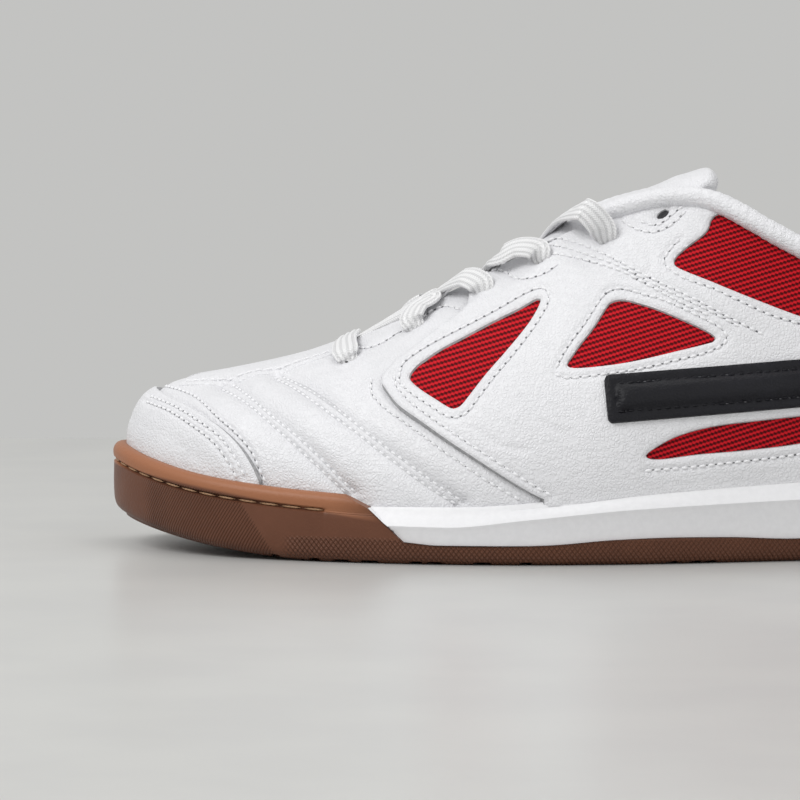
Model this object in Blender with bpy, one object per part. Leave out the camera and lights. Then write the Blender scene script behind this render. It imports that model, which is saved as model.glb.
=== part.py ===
"""Indoor soccer shoe for the left foot, standing empty on its sole.

The toe points to -X, the outer (lateral) side faces -Y and the floor is z = 0. Every shell of
the upper comes from one surface: a ring parameter runs from the heel (-1) along the inner side
to the toe (0) and along the outer side back to the heel (+1), and a rise parameter runs from
the feather line at the sole (0) to the ridge of the vamp or the edge of throat and collar (1).
"""

import math

import bmesh
import bpy
import numpy as np

# Driving sizes in metres
LENGTH = 0.290
BALL_WIDTH = 0.105
THROAT_HEIGHT = 0.0905
TOE_SPRING = 0.009
HEEL_BEVEL = 0.0025
WALL = 0.002
CLEARANCE = 0.0003
RIM_WIDTH = 0.0038
OVERLAY = 0.0011
OVERLAY_GAP = 0.0007
INSOLE = 0.003
INSOLE_GAP = 0.0006
TONGUE_THICKNESS = 0.0035
ROLL_WIDTH = 0.0062
ROLL_HEIGHT = 0.0052
ROLL_START = 0.50
LACE_WIDTH = 0.0068
LACE_THICKNESS = 0.0016
LACE_CROWN = 0.0012
TREAD_DEPTH = 0.0012
WAIST_DEPTH = 0.0015

# Steps of the meshes
RING_STEPS = 72
RISE_STEPS = 7

# Plan of the sole's edge: way from toe to heel, outer side, inner side, as shares of BALL_WIDTH
OUTLINE = (
    (0.0, 0.086, 0.086),
    (0.1, -0.114, 0.286),
    (0.2, -0.314, 0.405),
    (0.3, -0.452, 0.462),
    (0.4, -0.529, 0.471),
    (0.5, -0.490, 0.367),
    (0.6, -0.395, 0.290),
    (0.7, -0.362, 0.329),
    (0.8, -0.338, 0.343),
    (0.9, -0.224, 0.238),
    (1.0, 0.005, 0.005),
)

# Heights along the shoe: share of LENGTH from the toe, height as a share of THROAT_HEIGHT
CUP_RIM = ((0.0, 0.300), (0.03, 0.268), (0.08, 0.232), (0.13, 0.212), (0.18, 0.198), (0.24, 0.188),
           (1.0, 0.188))
MIDSOLE_RIM = ((0.0, 0.300), (0.10, 0.220), (0.20, 0.160), (0.23, 0.158), (0.314, 0.160), (0.397, 0.178),
               (0.476, 0.206), (0.607, 0.234), (0.776, 0.262), (0.914, 0.288), (1.0, 0.302))
FACET = ((0.0, 0.210), (0.10, 0.150), (0.20, 0.109), (0.25, 0.108), (0.303, 0.106), (0.372, 0.127),
         (0.465, 0.154), (0.607, 0.174), (1.0, 0.212))
FEATHER = ((0.0, 0.306), (0.03, 0.274), (0.08, 0.238), (0.13, 0.218), (0.18, 0.203), (0.22, 0.186),
           (0.26, 0.171), (0.314, 0.166), (0.397, 0.184), (0.476, 0.212), (0.607, 0.240), (0.776, 0.268),
           (0.914, 0.294), (1.0, 0.308))
FOOTBED = ((0.0, 0.168), (0.1, 0.130), (0.2, 0.110), (0.3, 0.106), (0.45, 0.116), (0.6, 0.138), (0.75, 0.160),
           (0.9, 0.177), (1.0, 0.184))
GUM_TOP = ((0.2655, 0.062), (0.30, 0.053), (0.345, 0.0525), (0.39, 0.056), (0.452, 0.070), (0.50, 0.074),
           (0.55, 0.072), (0.607, 0.064), (0.75, 0.064), (0.90, 0.072), (1.02, 0.086))
WEDGE = ((0.207, 0.400), (0.2135, 0.190), (0.2345, 0.156))

# Middle line of the upper in plan: share of LENGTH from the toe, side step as a share of BALL_WIDTH
MIDDLE = ((0.0, 0.086), (0.1, 0.078), (0.2, 0.055), (0.3, 0.038), (0.5, 0.010), (0.7, 0.0), (1.0, 0.005))

# Top line: way, share of LENGTH from the toe, half opening as a share of BALL_WIDTH, share of THROAT_HEIGHT
TOP_LINE = (
    (0.0, 0.076, 0.0, 0.491),
    (0.1, 0.090, 0.0, 0.496),
    (0.2, 0.131, 0.0, 0.521),
    (0.28, 0.179, 0.0, 0.558),
    (0.325, 0.207, 0.0, 0.589),
    (0.36, 0.245, 0.081, 0.637),
    (0.40, 0.293, 0.100, 0.712),
    (0.44, 0.352, 0.114, 0.802),
    (0.48, 0.417, 0.129, 0.908),
    (0.505, 0.466, 0.145, 0.968),
    (0.525, 0.508, 0.174, 0.996),
    (0.545, 0.543, 0.212, 0.982),
    (0.57, 0.583, 0.250, 0.914),
    (0.61, 0.652, 0.289, 0.797),
    (0.66, 0.718, 0.307, 0.713),
    (0.72, 0.790, 0.311, 0.680),
    (0.78, 0.852, 0.299, 0.697),
    (0.84, 0.903, 0.264, 0.742),
    (0.90, 0.941, 0.206, 0.802),
    (0.95, 0.964, 0.124, 0.850),
    (1.0, 0.974, 0.0, 0.873),
)

# Bend of each section: way, rise and reach of its two handles as shares of its chord, lean outwards at the
# sole, turn of the top handle from the toe's direction, dip of the top handle below level, in degrees
SECTIONS = (
    (0.0, 0.38, 0.40, 0, 0, 8),
    (0.1, 0.37, 0.42, 0, 38, 6),
    (0.2, 0.33, 0.44, 0, 70, 4),
    (0.28, 0.31, 0.45, 0, 85, 3),
    (0.325, 0.31, 0.43, 0, 90, 6),
    (0.36, 0.32, 0.40, 0, 90, 16),
    (0.40, 0.34, 0.38, 0, 90, 23),
    (0.44, 0.36, 0.36, 0, 90, 31),
    (0.48, 0.36, 0.34, 1, 90, 41),
    (0.525, 0.36, 0.33, 2, 90, 60),
    (0.57, 0.36, 0.33, 3, 90, 76),
    (0.66, 0.36, 0.33, 4, 90, 82),
    (0.78, 0.36, 0.33, 5, 95, 85),
    (0.90, 0.36, 0.33, 6, 130, 84),
    (1.0, 0.36, 0.33, 8, 180, 84),
)

# Raised leather: way round the toe and share of the rise that the toe cap covers
TOE_CAP = ((0.0, 0.72), (0.1, 0.64), (0.2, 0.42), (0.25, 0.20), (0.272, 0.03))
HEEL_COUNTER = ((0.80, 0.10), (0.84, 0.50), (0.90, 0.70), (0.95, 0.76), (1.0, 0.78))

# Side view of the quarter panel and its windows: share of LENGTH from the toe, share of THROAT_HEIGHT
QUARTER = ((0.336, 0.745), (0.300, 0.655), (0.262, 0.545), (0.246, 0.508), (0.250, 0.480), (0.310, 0.345),
           (0.352, 0.255), (0.394, 0.120), (0.86, 0.120), (0.86, 0.900), (0.62, 0.900), (0.505, 0.980),
           (0.420, 0.890))
WINDOWS = {
    "front": ((0.271, 0.528), (0.288, 0.566), (0.347, 0.665), (0.388, 0.716), (0.379, 0.655), (0.341, 0.525),
              (0.318, 0.447), (0.303, 0.437)),
    "middle": ((0.405, 0.552), (0.437, 0.672), (0.452, 0.732), (0.463, 0.742), (0.511, 0.690), (0.539, 0.640),
               (0.505, 0.594), (0.440, 0.560)),
    "rear": ((0.474, 0.308), (0.520, 0.372), (0.600, 0.395), (0.720, 0.425), (0.700, 0.360), (0.560, 0.325)),
    "collar": ((0.497, 0.820), (0.520, 0.880), (0.540, 0.915), (0.590, 0.790), (0.640, 0.700), (0.640, 0.560),
               (0.586, 0.690), (0.508, 0.790)),
}
# Padded side band: front and back ends of its middle line, and its width as a share of THROAT_HEIGHT
BAND_FRONT = (0.440, 0.455)
BAND_BACK = (0.800, 0.560)
BAND_WIDTH = 0.130

# Sides of the soles, from the tread up: inset within the outline in metres, level (0 tread, 1 facet, 2 rim),
# metres above that level
OUTSOLE_SIDE = (
    (0.0034, 0.0, 0.0), (0.0016, 0.0, 0.0008), (0.0006, 0.0, 0.0022), (0.0, 0.9, 0.0), (0.0002, 2.0, -0.0050),
    (0.0011, 2.0, -0.0046), (0.0011, 2.0, -0.0040), (0.0002, 2.0, -0.0037), (0.0, 2.0, -0.0022),
    (0.0005, 2.0, -0.0008), (0.0017, 2.0, 0.0), (RIM_WIDTH - 0.0004, 2.0, -0.0001), (RIM_WIDTH, 2.0, -0.0006),
)
MIDSOLE_SIDE = (
    (0.0012, 0.0, 0.0010), (0.0010, 0.0, 0.0042), (0.0004, 1.0, -0.0005), (0.0002, 1.0, 0.0),
    (0.0005, 1.0, 0.0006), (RIM_WIDTH - 0.0011, 2.0, -0.0008), (RIM_WIDTH - 0.0006, 2.0, -0.0001),
    (RIM_WIDTH, 2.0, -0.0002),
)

# Tongue: first and last way that it follows under the throat, and the rise of its sides
TONGUE_WAYS = (0.295, 0.505)
TONGUE_SIDE = 0.76
# Lip of the tongue: slope in degrees and length in metres of each step, share by which its sides draw in
TONGUE_LIP = ((22, 0.0075, 0.30), (28, 0.0080, 0.20), (16, 0.0085, 0.10), (-24, 0.0055, 0.22))
LIP_ROUNDING = 0.3

# Eyelets: ways of the sections that carry them, and their rise
EYELET_WAYS = (0.345, 0.380, 0.415, 0.452, 0.485, 0.512)
EYELET_RISE = 0.93
LACED = 5

# Tread: share of LENGTH from the toe and width in metres of each groove across the sole
TREAD = ((0.150, 0.0020), (0.185, 0.0020), (0.2345, 0.0040), (0.275, 0.0020), (0.333, 0.0036), (0.372, 0.0020),
         (0.500, 0.0016), (0.512, 0.0016), (0.524, 0.0016), (0.536, 0.0016), (0.780, 0.0020), (0.830, 0.0020),
         (0.880, 0.0020))
WAIST = (0.575, 0.735)

WHITE_LEATHER = ("white_leather", (0.80, 0.80, 0.82), 0.45)
BLACK_LEATHER = ("black_leather", (0.02, 0.02, 0.025), 0.45)
GUM_RUBBER = ("gum_rubber", (0.24, 0.11, 0.06), 0.50)
WHITE_FOAM = ("white_foam", (0.72, 0.72, 0.75), 0.55)
GREY_LINING = ("grey_lining", (0.55, 0.55, 0.57), 0.90)
WHITE_LACE = ("white_lace", (0.82, 0.82, 0.84), 0.85)


def columns(table):
    """The table's columns as arrays."""
    return [np.array(column, float) for column in zip(*table)]


def spline(knots, values, at):
    """Cubic spline with free ends through the values, level beyond the first and last knot."""
    gaps = np.diff(knots)
    slopes = np.diff(values) / gaps
    size = len(knots)
    matrix = np.eye(size)
    right = np.zeros(size)
    for i in range(1, size - 1):
        matrix[i, i - 1:i + 2] = gaps[i - 1], 2 * (gaps[i - 1] + gaps[i]), gaps[i]
        right[i] = 6 * (slopes[i] - slopes[i - 1])
    bends = np.linalg.solve(matrix, right)
    at = np.clip(at, knots[0], knots[-1])
    i = np.clip(np.searchsorted(knots, at, side="right") - 1, 0, size - 2)
    left, step = at - knots[i], gaps[i]
    rise = slopes[i] - step * (2 * bends[i] + bends[i + 1]) / 6
    return values[i] + left * (rise + left * (bends[i] / 2 + left * (bends[i + 1] - bends[i]) / (6 * step)))


def steady(knots, values, at):
    """Cubic curve through the values that never swings past them."""
    gaps = np.diff(knots)
    slopes = np.diff(values) / gaps
    tilts = np.concatenate([slopes[:1], (slopes[1:] + slopes[:-1]) / 2, slopes[-1:]])
    for i, (low, high) in enumerate(zip(slopes[:-1], slopes[1:]), 1):
        tilts[i] = 0.0 if low * high <= 0 else 2 * low * high / (low + high)
    at = np.clip(at, knots[0], knots[-1])
    i = np.clip(np.searchsorted(knots, at, side="right") - 1, 0, len(knots) - 2)
    share, step = (at - knots[i]) / gaps[i], gaps[i]
    return (values[i] * (1 + 2 * share) * (1 - share) ** 2 + step * tilts[i] * share * (1 - share) ** 2
            + values[i + 1] * share ** 2 * (3 - 2 * share) - step * tilts[i + 1] * share ** 2 * (1 - share))


def height(table, x):
    """Height at x from a table of shares along the shoe."""
    shares, heights = columns(table)
    return THROAT_HEIGHT * steady(shares, heights, x / LENGTH + 0.5)


def along(table, way):
    """Each column of a table by way, as smooth curves that mirror at toe and heel."""
    ways, *values = columns(table)
    knots = np.concatenate([-ways[:0:-1], ways, 2 - ways[-2::-1]])
    return [spline(knots, np.concatenate([v[:0:-1], v, v[-2::-1]]), np.abs(way)) for v in values]


def side_step(ring):
    """Share of BALL_WIDTH at which the sole's edge lies beside the heel's axis, on a closed spline."""
    ways, outer, inner = columns(OUTLINE)
    knots = np.concatenate([-ways[:0:-1], ways])
    values = np.concatenate([inner[:0:-1], outer])
    wrapped = np.concatenate([knots[:-1] - 2, knots, knots[1:] + 2])
    return spline(wrapped, np.concatenate([values[:-1], values, values[1:]]), ring)


def plan_shift():
    """Side step that centres the sole's widest places on y = 0."""
    steps = side_step(np.linspace(-1, 1, 2 * RING_STEPS + 1))
    return BALL_WIDTH * (steps.max() + steps.min()) / 2


def outline(ring):
    """Plan of the sole's edge at a ring parameter: x runs as a cosine."""
    return -LENGTH / 2 * np.cos(math.pi * ring), side_step(ring) * BALL_WIDTH - plan_shift()


def outward(ring):
    """Unit normal of the plan outline, pointing away from the foot."""
    step = 0.004
    x0, y0 = outline(ring - step)
    x1, y1 = outline(ring + step)
    size = np.hypot(x1 - x0, y1 - y0)
    return (y1 - y0) / size, (x0 - x1) / size


def edge(ring, inset, z):
    """Points a given inset within the sole's outline, at heights z."""
    x, y = outline(ring)
    nx, ny = outward(ring)
    return np.stack(np.broadcast_arrays(x - inset * nx, y - inset * ny, z), -1)


def middle(x):
    """Side step of the shoe's middle line at x."""
    shares, steps = columns(MIDDLE)
    return BALL_WIDTH * spline(shares, steps, x / LENGTH + 0.5) - plan_shift()


def feather(ring):
    """Lower end of each section, where the upper leaves the sole's rim."""
    x, _ = outline(ring)
    return edge(ring, RIM_WIDTH + CLEARANCE, height(FEATHER, x))


def top_line(ring):
    """Upper end of each section: the ridge of the vamp, then the edge of throat and collar."""
    share, _, rise = along([(row[0], row[1], row[2], row[3]) for row in TOP_LINE], ring)
    ways, _, opening, _ = columns(TOP_LINE)
    gap = steady(ways, opening, np.abs(ring))
    x = LENGTH * (share - 0.5)
    return np.stack([x, middle(x) - np.sign(ring) * gap * BALL_WIDTH, rise * THROAT_HEIGHT], -1)


def surface(ring, rise):
    """The upper's outer face: each section is a cubic from the feather line to the top line."""
    ring, rise = np.broadcast_arrays(np.asarray(ring, float), np.asarray(rise, float))
    low, top = feather(ring), top_line(ring)
    chord = np.linalg.norm(top - low, axis=-1)
    up, reach, lean, turn, dip = along(SECTIONS, ring)
    lean, turn, dip = np.radians(lean), np.radians(turn), np.radians(dip)
    nx, ny = outward(ring)
    side = -np.sign(ring)
    start = np.stack([nx * np.sin(lean), ny * np.sin(lean), np.cos(lean)], -1)
    end = np.stack([-np.cos(turn) * np.cos(dip), side * np.sin(turn) * np.cos(dip), -np.sin(dip)], -1)
    first = low + start * (up * chord)[..., None]
    last = top + end * (reach * chord)[..., None]
    v = rise[..., None]
    return low * (1 - v) ** 3 + 3 * first * v * (1 - v) ** 2 + 3 * last * v ** 2 * (1 - v) + top * v ** 3


def normal(ring, rise):
    """Unit normal of the upper's outer face, from small steps in both parameters."""
    step = 0.004
    way = np.abs(ring)
    ring = np.where(way < step, step, ring)
    rise = np.clip(rise, step, 0.985 - step)
    around = surface(ring + step, rise) - surface(ring - step, rise)
    upward = surface(ring, rise + step) - surface(ring, rise - step)
    found = np.cross(around, upward)
    return found / np.linalg.norm(found, axis=-1, keepdims=True)


def shell_point(ring, rise, out):
    """A point of the upper's outer face moved out along its normal."""
    ring, rise = np.broadcast_arrays(np.asarray(ring, float), np.asarray(rise, float))
    return surface(ring, rise) + normal(ring, rise) * out


def finish(name, look, points, faces):
    """Makes the named object from points and faces, with its own material and outward faces."""
    mesh = bpy.data.meshes.new(name)
    mesh.from_pydata([tuple(p) for p in points], [], faces)
    form = bmesh.new()
    form.from_mesh(mesh)
    bmesh.ops.recalc_face_normals(form, faces=form.faces)
    form.to_mesh(mesh)
    form.free()
    mesh.shade_smooth()
    mesh.set_sharp_from_angle(angle=math.radians(40))
    made = bpy.data.objects.new(name, mesh)
    bpy.context.scene.collection.objects.link(made)
    title, colour, roughness = look
    material = bpy.data.materials.new(f"{name}_{title}")
    material.use_nodes = True
    shader = material.node_tree.nodes["Principled BSDF"]
    shader.inputs["Base Color"].default_value = (*colour, 1)
    shader.inputs["Roughness"].default_value = roughness
    mesh.materials.append(material)
    return made


def rings():
    """Ring parameters of the mesh, from the heel round the toe and back."""
    return -1 + 2 * np.arange(RING_STEPS) / RING_STEPS


def lid(first, flip):
    """Faces that close a ring of vertices by joining its outer and inner sides."""
    faces = []
    for i in range(RING_STEPS // 2):
        corners = [first + i, first + i + 1, first + (RING_STEPS - i - 1) % RING_STEPS,
                   first + (RING_STEPS - i) % RING_STEPS]
        face = list(dict.fromkeys(corners))
        faces.append(face[::-1] if flip else face)
    return faces


def lofted(name, look, levels):
    """Closed solid through rings of points, each level a ring, with a lid on the first and last."""
    count = RING_STEPS
    faces = lid(0, True) + lid((len(levels) - 1) * count, False)
    for level in range(len(levels) - 1):
        for i in range(count):
            a, b = level * count + i, level * count + (i + 1) % count
            faces.append([a, b, b + count, a + count])
    return finish(name, look, np.concatenate(levels), faces)


def patch(name, look, outer, inner):
    """Closed shell between two grids of points of the same size."""
    rows, cols = outer.shape[:2]
    size = rows * cols
    at = np.arange(size).reshape(rows, cols)
    faces = []
    for i in range(rows - 1):
        for j in range(cols - 1):
            face = [at[i, j], at[i + 1, j], at[i + 1, j + 1], at[i, j + 1]]
            faces += [face, [k + size for k in face[::-1]]]
    border = [*at[:, 0], *at[-1, 1:], *at[-2::-1, -1], *at[0, -2:0:-1]]
    for a, b in zip(border, border[1:] + border[:1]):
        faces.append([b, a, a + size, b + size])
    points = np.concatenate([outer.reshape(-1, 3), inner.reshape(-1, 3)])
    return finish(name, look, points, [[int(k) for k in face] for face in faces])


def prism(name, side_view, y_low, y_high):
    """Cutter: an outline in side view, given in shares, carried across the shoe."""
    outline_points = [(LENGTH * (s - 0.5), THROAT_HEIGHT * h) for s, h in side_view]
    count = len(outline_points)
    points = [(x, y, z) for y in (y_low, y_high) for x, z in outline_points]
    faces = [list(range(count)), list(range(2 * count - 1, count - 1, -1))]
    faces += [[i, (i + 1) % count, count + (i + 1) % count, count + i] for i in range(count)]
    cutter = finish(name, WHITE_LEATHER, points, faces)
    cutter.hide_render = True
    cutter.display_type = "WIRE"
    return cutter


def rounded(corners, share=0.22, steps=2):
    """Outline with each corner replaced by a short curve towards its neighbours."""
    points = []
    count = len(corners)
    for i in range(count):
        before, here, after = (np.array(corners[k % count]) for k in (i - 1, i, i + 1))
        start, end = here + (before - here) * share, here + (after - here) * share
        for step in range(steps + 1):
            w = step / steps
            points.append(tuple(start * (1 - w) ** 2 + 2 * here * w * (1 - w) + end * w ** 2))
    return points


def carve(target, cutter, operation="DIFFERENCE"):
    """Adds an exact Boolean with the cutter to the target."""
    modifier = target.modifiers.new(cutter.name, "BOOLEAN")
    modifier.operation = operation
    modifier.object = cutter
    modifier.solver = "EXACT"


def bottom(x):
    """Height of the tread: toe spring in front, level under ball and heel, bevel at the back."""
    share = x / LENGTH + 0.5
    front = np.clip((0.235 - share) / 0.235, 0, None) ** 2.4
    back = np.clip((share - 0.93) / 0.07, 0, None) ** 2
    return TOE_SPRING * front + HEEL_BEVEL * back


def wedge_line(gap):
    """Side view of the line where gum and midsole meet, moved up and back by a gap."""
    shares, heights = columns(GUM_TOP)
    line = [(s + gap / LENGTH, h + gap / THROAT_HEIGHT) for s, h in WEDGE]
    for share in np.linspace(shares[0], shares[-1], 24):
        line.append((share + gap / LENGTH, float(steady(shares, heights, share)) + gap / THROAT_HEIGHT))
    return line


def side_levels(table, ring, heights):
    """Rings of a sole's side from its table, given the heights of tread, facet and rim."""
    low, facet, rim = heights
    levels = []
    for inset, level, above in table:
        z = low + (facet - low) * min(level, 1.0) + (rim - facet) * max(level - 1.0, 0.0) + above
        levels.append(edge(ring, inset, z))
    return levels


def make_outsole():
    """Gum cup round the forefoot with a grooved rim, and a thin treaded slab behind it."""
    ring = rings()
    x, _ = outline(ring)
    low, rim, bed = bottom(x), height(CUP_RIM, x), height(FOOTBED, x)
    half = (low + rim) / 2
    levels = side_levels(OUTSOLE_SIDE, ring, (low, half, rim)) + [edge(ring, RIM_WIDTH, bed)]
    sole = lofted("outsole", GUM_RUBBER, levels)
    over = [(1.1, 1.0), (0.207, 1.0)] + wedge_line(0.0) + [(1.1, 0.086)]
    carve(sole, prism("outsole_upper_cut", over, -BALL_WIDTH, BALL_WIDTH))
    carve(sole, tread_cutter())
    return sole


def tread_cutter():
    """Grooves across the tread and the shallow recess under the waist, as one comb."""
    points, faces = [], []
    boxes = [(LENGTH * (s - 0.5) - w / 2, LENGTH * (s - 0.5) + w / 2, 1.0, TREAD_DEPTH) for s, w in TREAD]
    boxes.append((LENGTH * (WAIST[0] - 0.5), LENGTH * (WAIST[1] - 0.5), 0.42, WAIST_DEPTH))
    for x0, x1, part, depth in boxes:
        middle_x = (x0 + x1) / 2
        half = BALL_WIDTH if part == 1.0 else BALL_WIDTH * part / 2
        top = float(bottom(np.array(middle_x))) + depth
        base = len(points)
        corners = ((x0, -half), (x1, -half), (x1, half), (x0, half))
        points += [(x, y, z) for z in (-0.01, top) for x, y in corners]
        faces += [[base + k for k in face] for face in
                  ((3, 2, 1, 0), (4, 5, 6, 7), (0, 1, 5, 4), (1, 2, 6, 5), (2, 3, 7, 6), (3, 0, 4, 7))]
    cutter = finish("tread_cut", GUM_RUBBER, points, faces)
    cutter.hide_render = True
    cutter.display_type = "WIRE"
    return cutter


def make_midsole():
    """White foam from the wedge to the heel, with a bright sloping facet over a steep one."""
    ring = rings()
    x, _ = outline(ring)
    low, rim, bed, facet = bottom(x), height(MIDSOLE_RIM, x), height(FOOTBED, x), height(FACET, x)
    levels = side_levels(MIDSOLE_SIDE, ring, (low, facet, rim)) + [edge(ring, RIM_WIDTH, bed)]
    sole = lofted("midsole", WHITE_FOAM, levels)
    under = [(1.1, -0.2), (-0.1, -0.2), (-0.1, 1.0), (0.208, 1.0)] + wedge_line(CLEARANCE) + [(1.1, 0.09)]
    carve(sole, prism("midsole_lower_cut", under, -BALL_WIDTH, BALL_WIDTH))
    return sole


def make_insole():
    """Thin footbed lining that lies on the sole inside the upper's lower edge."""
    ring = rings()
    x, _ = outline(ring)
    bed = height(FOOTBED, x) + CLEARANCE
    inset = RIM_WIDTH + CLEARANCE + WALL + INSOLE_GAP
    levels = [(inset, bed), (inset, bed + INSOLE - 0.0008), (inset + 0.0008, bed + INSOLE)]
    return lofted("insole", GREY_LINING, [edge(ring, i, z) for i, z in levels])


def make_upper():
    """Hollow upper: outer face, inner face a wall within it, open at throat, collar and underneath."""
    ring = rings()
    rises = np.linspace(0, 1, RISE_STEPS + 1)
    bed = height(FOOTBED, outline(ring)[0]) + CLEARANCE
    skirt = edge(ring, RIM_WIDTH + CLEARANCE, bed)
    inner_skirt = edge(ring, RIM_WIDTH + CLEARANCE + WALL, bed)
    outer = np.stack([skirt] + [surface(ring, v) for v in rises])
    inner = np.stack([inner_skirt] + [shell_point(ring, v, -WALL) for v in rises])
    levels, count = outer.shape[:2]
    opening = steady(*[columns(TOP_LINE)[k] for k in (0, 2)], np.abs(ring))
    index = np.arange(levels * count).reshape(levels, count)
    for i in range(count):
        twin = (count - i) % count
        if opening[i] < 1e-6 and twin < i and ring[i] > 0 and ring[i] < 0.5:
            index[-1, i] = index[-1, twin]
            inner[-1, twin] = (inner[-1, twin] + inner[-1, i]) / 2
    size = levels * count
    faces = []
    for level in range(levels - 1):
        for i in range(count):
            j = (i + 1) % count
            face = [index[level, i], index[level, j], index[level + 1, j], index[level + 1, i]]
            faces += [face, [k + size for k in face[::-1]]]
    for i in range(count):
        j = (i + 1) % count
        faces.append([index[0, j], index[0, i], index[0, i] + size, index[0, j] + size])
        if opening[i] > 1e-6 or opening[j] > 1e-6 or abs(ring[i]) > 0.9:
            a, b = index[-1, i], index[-1, j]
            faces.append([a, b, b + size, a + size])
    points = np.concatenate([outer.reshape(-1, 3), inner.reshape(-1, 3)])
    used = sorted({int(k) for face in faces for k in face})
    place = {old: new for new, old in enumerate(used)}
    return finish("upper", WHITE_LEATHER, points[used], [[place[int(k)] for k in face] for face in faces])


def tongue_rows():
    """Points of the surface that the tongue follows: under the eyestays and across the throat."""
    rows = []
    for way in np.linspace(*TONGUE_WAYS, 10):
        rises = np.linspace(TONGUE_SIDE - 0.25 * max(0.0, 0.36 - way), 1, 9)
        outer, inner = surface(way, rises), surface(-way, rises)
        start, end = outer[-1], inner[-1]
        span = np.linalg.norm(end - start)
        first = (outer[-1] - outer[-2]) / np.linalg.norm(outer[-1] - outer[-2])
        last = (inner[-2] - inner[-1]) / np.linalg.norm(inner[-2] - inner[-1])
        s = np.linspace(0, 1, 11)[1:-1, None]
        bridge = (start * (1 + 2 * s) * (1 - s) ** 2 + first * span * s * (1 - s) ** 2
                  + end * s ** 2 * (3 - 2 * s) - last * span * s ** 2 * (1 - s))
        line = np.concatenate([outer, bridge, inner[::-1]])
        length = np.concatenate([[0], np.cumsum(np.linalg.norm(np.diff(line, axis=0), axis=1) + 1e-9)])
        at = np.linspace(0, length[-1], 11)
        rows.append(np.stack([np.interp(at, length, line[:, k]) for k in range(3)], -1))
    return rows


def make_tongue():
    """Padded tongue under the throat, its lip standing above the collar."""
    rows = tongue_rows()
    across = np.linspace(-1, 1, len(rows[-1]))
    for angle, step, draw in TONGUE_LIP:
        move = np.array([math.cos(math.radians(angle)), 0, math.sin(math.radians(angle))]) * step
        narrowed = [np.interp(across * (1 - draw), across, rows[-1][:, k]) for k in range(3)]
        rows.append(np.stack(narrowed, -1) + move * (1 - LIP_ROUNDING * across[:, None] ** 4))
    grid = np.stack(rows)
    way, across = np.gradient(grid, axis=0), np.gradient(grid, axis=1)
    up = np.cross(way, across)
    up /= np.linalg.norm(up, axis=-1, keepdims=True)
    up *= np.sign(up[..., 2:].mean())
    top = grid - up * (WALL + 3 * CLEARANCE)
    return patch("tongue", WHITE_LEATHER, top, top - up * TONGUE_THICKNESS)


def covered(ways, tops, steps, low=0.0):
    """Grid of ring and rise parameters under a top edge that varies along the ring."""
    rise = low + (tops - low)[:, None] * np.linspace(0, 1, steps)[None, :]
    return np.repeat(ways[:, None], steps, axis=1), rise


def ring_ways(first, last):
    """Ways between two limits at which the upper's own mesh has a section."""
    ways = 2 * np.arange(RING_STEPS // 2 + 1) / RING_STEPS
    return ways[(ways > first - 1e-6) & (ways < last + 1e-6)]


def shell_rises(low, high):
    """Rises from low to high, with those of the upper's own mesh between them."""
    rises = np.linspace(0, 1, RISE_STEPS + 1)
    return np.concatenate([[low], rises[(rises > low + 0.01) & (rises < high - 0.01)], [high]])


def make_overlay(name, look, ring, rise, gap=CLEARANCE):
    """Shell of leather that follows the upper at a gap above it."""
    return patch(name, look, shell_point(ring, rise, gap + OVERLAY), shell_point(ring, rise, gap))


def make_toe_cap():
    """Stitched cap over the toe, its back edge a step across the vamp."""
    ways, tops = columns(TOE_CAP)
    half = np.append(ring_ways(0.0, ways[-1]), ways[-1])
    ring = np.concatenate([-half[:0:-1], half])
    tall = steady(ways, tops, np.abs(ring))
    return make_overlay("toe_cap", WHITE_LEATHER, *covered(ring, tall, 7, 0.02), 2 * CLEARANCE)


def make_heel_counter():
    """Stiff leather round the back of the heel."""
    ways, tops = columns(HEEL_COUNTER)
    turn = np.linspace(ways[0], 2 - ways[0], 19)
    top = steady(ways, tops, np.where(turn > 1, 2 - turn, turn))
    ring = np.where(turn > 1, turn - 2, turn)
    return make_overlay("heel_counter", WHITE_LEATHER, *covered(ring, top, 6, 0.02))


def make_quarter(name, side):
    """Side panel with its windows, cut from a shell of the upper by its outline in side view."""
    ring, rise = np.meshgrid(side * ring_ways(0.325, 0.80), shell_rises(0.02, 0.985), indexing="ij")
    panel = make_overlay(name, WHITE_LEATHER, ring, rise, OVERLAY_GAP)
    far = -side * BALL_WIDTH
    y_low, y_high = sorted((far, -side * 0.004))
    carve(panel, prism(f"{name}_outline", rounded(QUARTER, 0.15, 2), y_low, y_high), "INTERSECT")
    for title, corners in WINDOWS.items():
        carve(panel, prism(f"{name}_{title}_window", rounded(corners), y_low, y_high))
    return panel


def make_collar_roll():
    """Padded binding that runs on the edge of the collar, from throat to throat."""
    half = ring_ways(ROLL_START, 1.0)
    ring = np.concatenate([half, -half[-2::-1]])
    path = top_line(ring)
    path[:, 2] += 2 * CLEARANCE + ROLL_HEIGHT / 2
    tangent = np.gradient(path, axis=0)
    tangent /= np.linalg.norm(tangent, axis=1, keepdims=True)
    side = np.cross(tangent, [0, 0, 1.0])
    side /= np.linalg.norm(side, axis=1, keepdims=True)
    up = np.cross(side, tangent)
    angles = np.linspace(0, 2 * math.pi, 9)[:-1]
    rows = [path + side * ROLL_WIDTH / 2 * math.cos(a) + up * ROLL_HEIGHT / 2 * math.sin(a) for a in angles]
    grid = np.stack(rows, 1)
    count, sides = grid.shape[:2]
    faces = [list(range(sides)), list(range(count * sides - 1, (count - 1) * sides - 1, -1))]
    for i in range(count - 1):
        for j in range(sides):
            k = (j + 1) % sides
            faces.append([i * sides + j, i * sides + k, (i + 1) * sides + k, (i + 1) * sides + j])
    return finish("collar_roll", WHITE_LEATHER, grid.reshape(-1, 3), faces)


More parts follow.
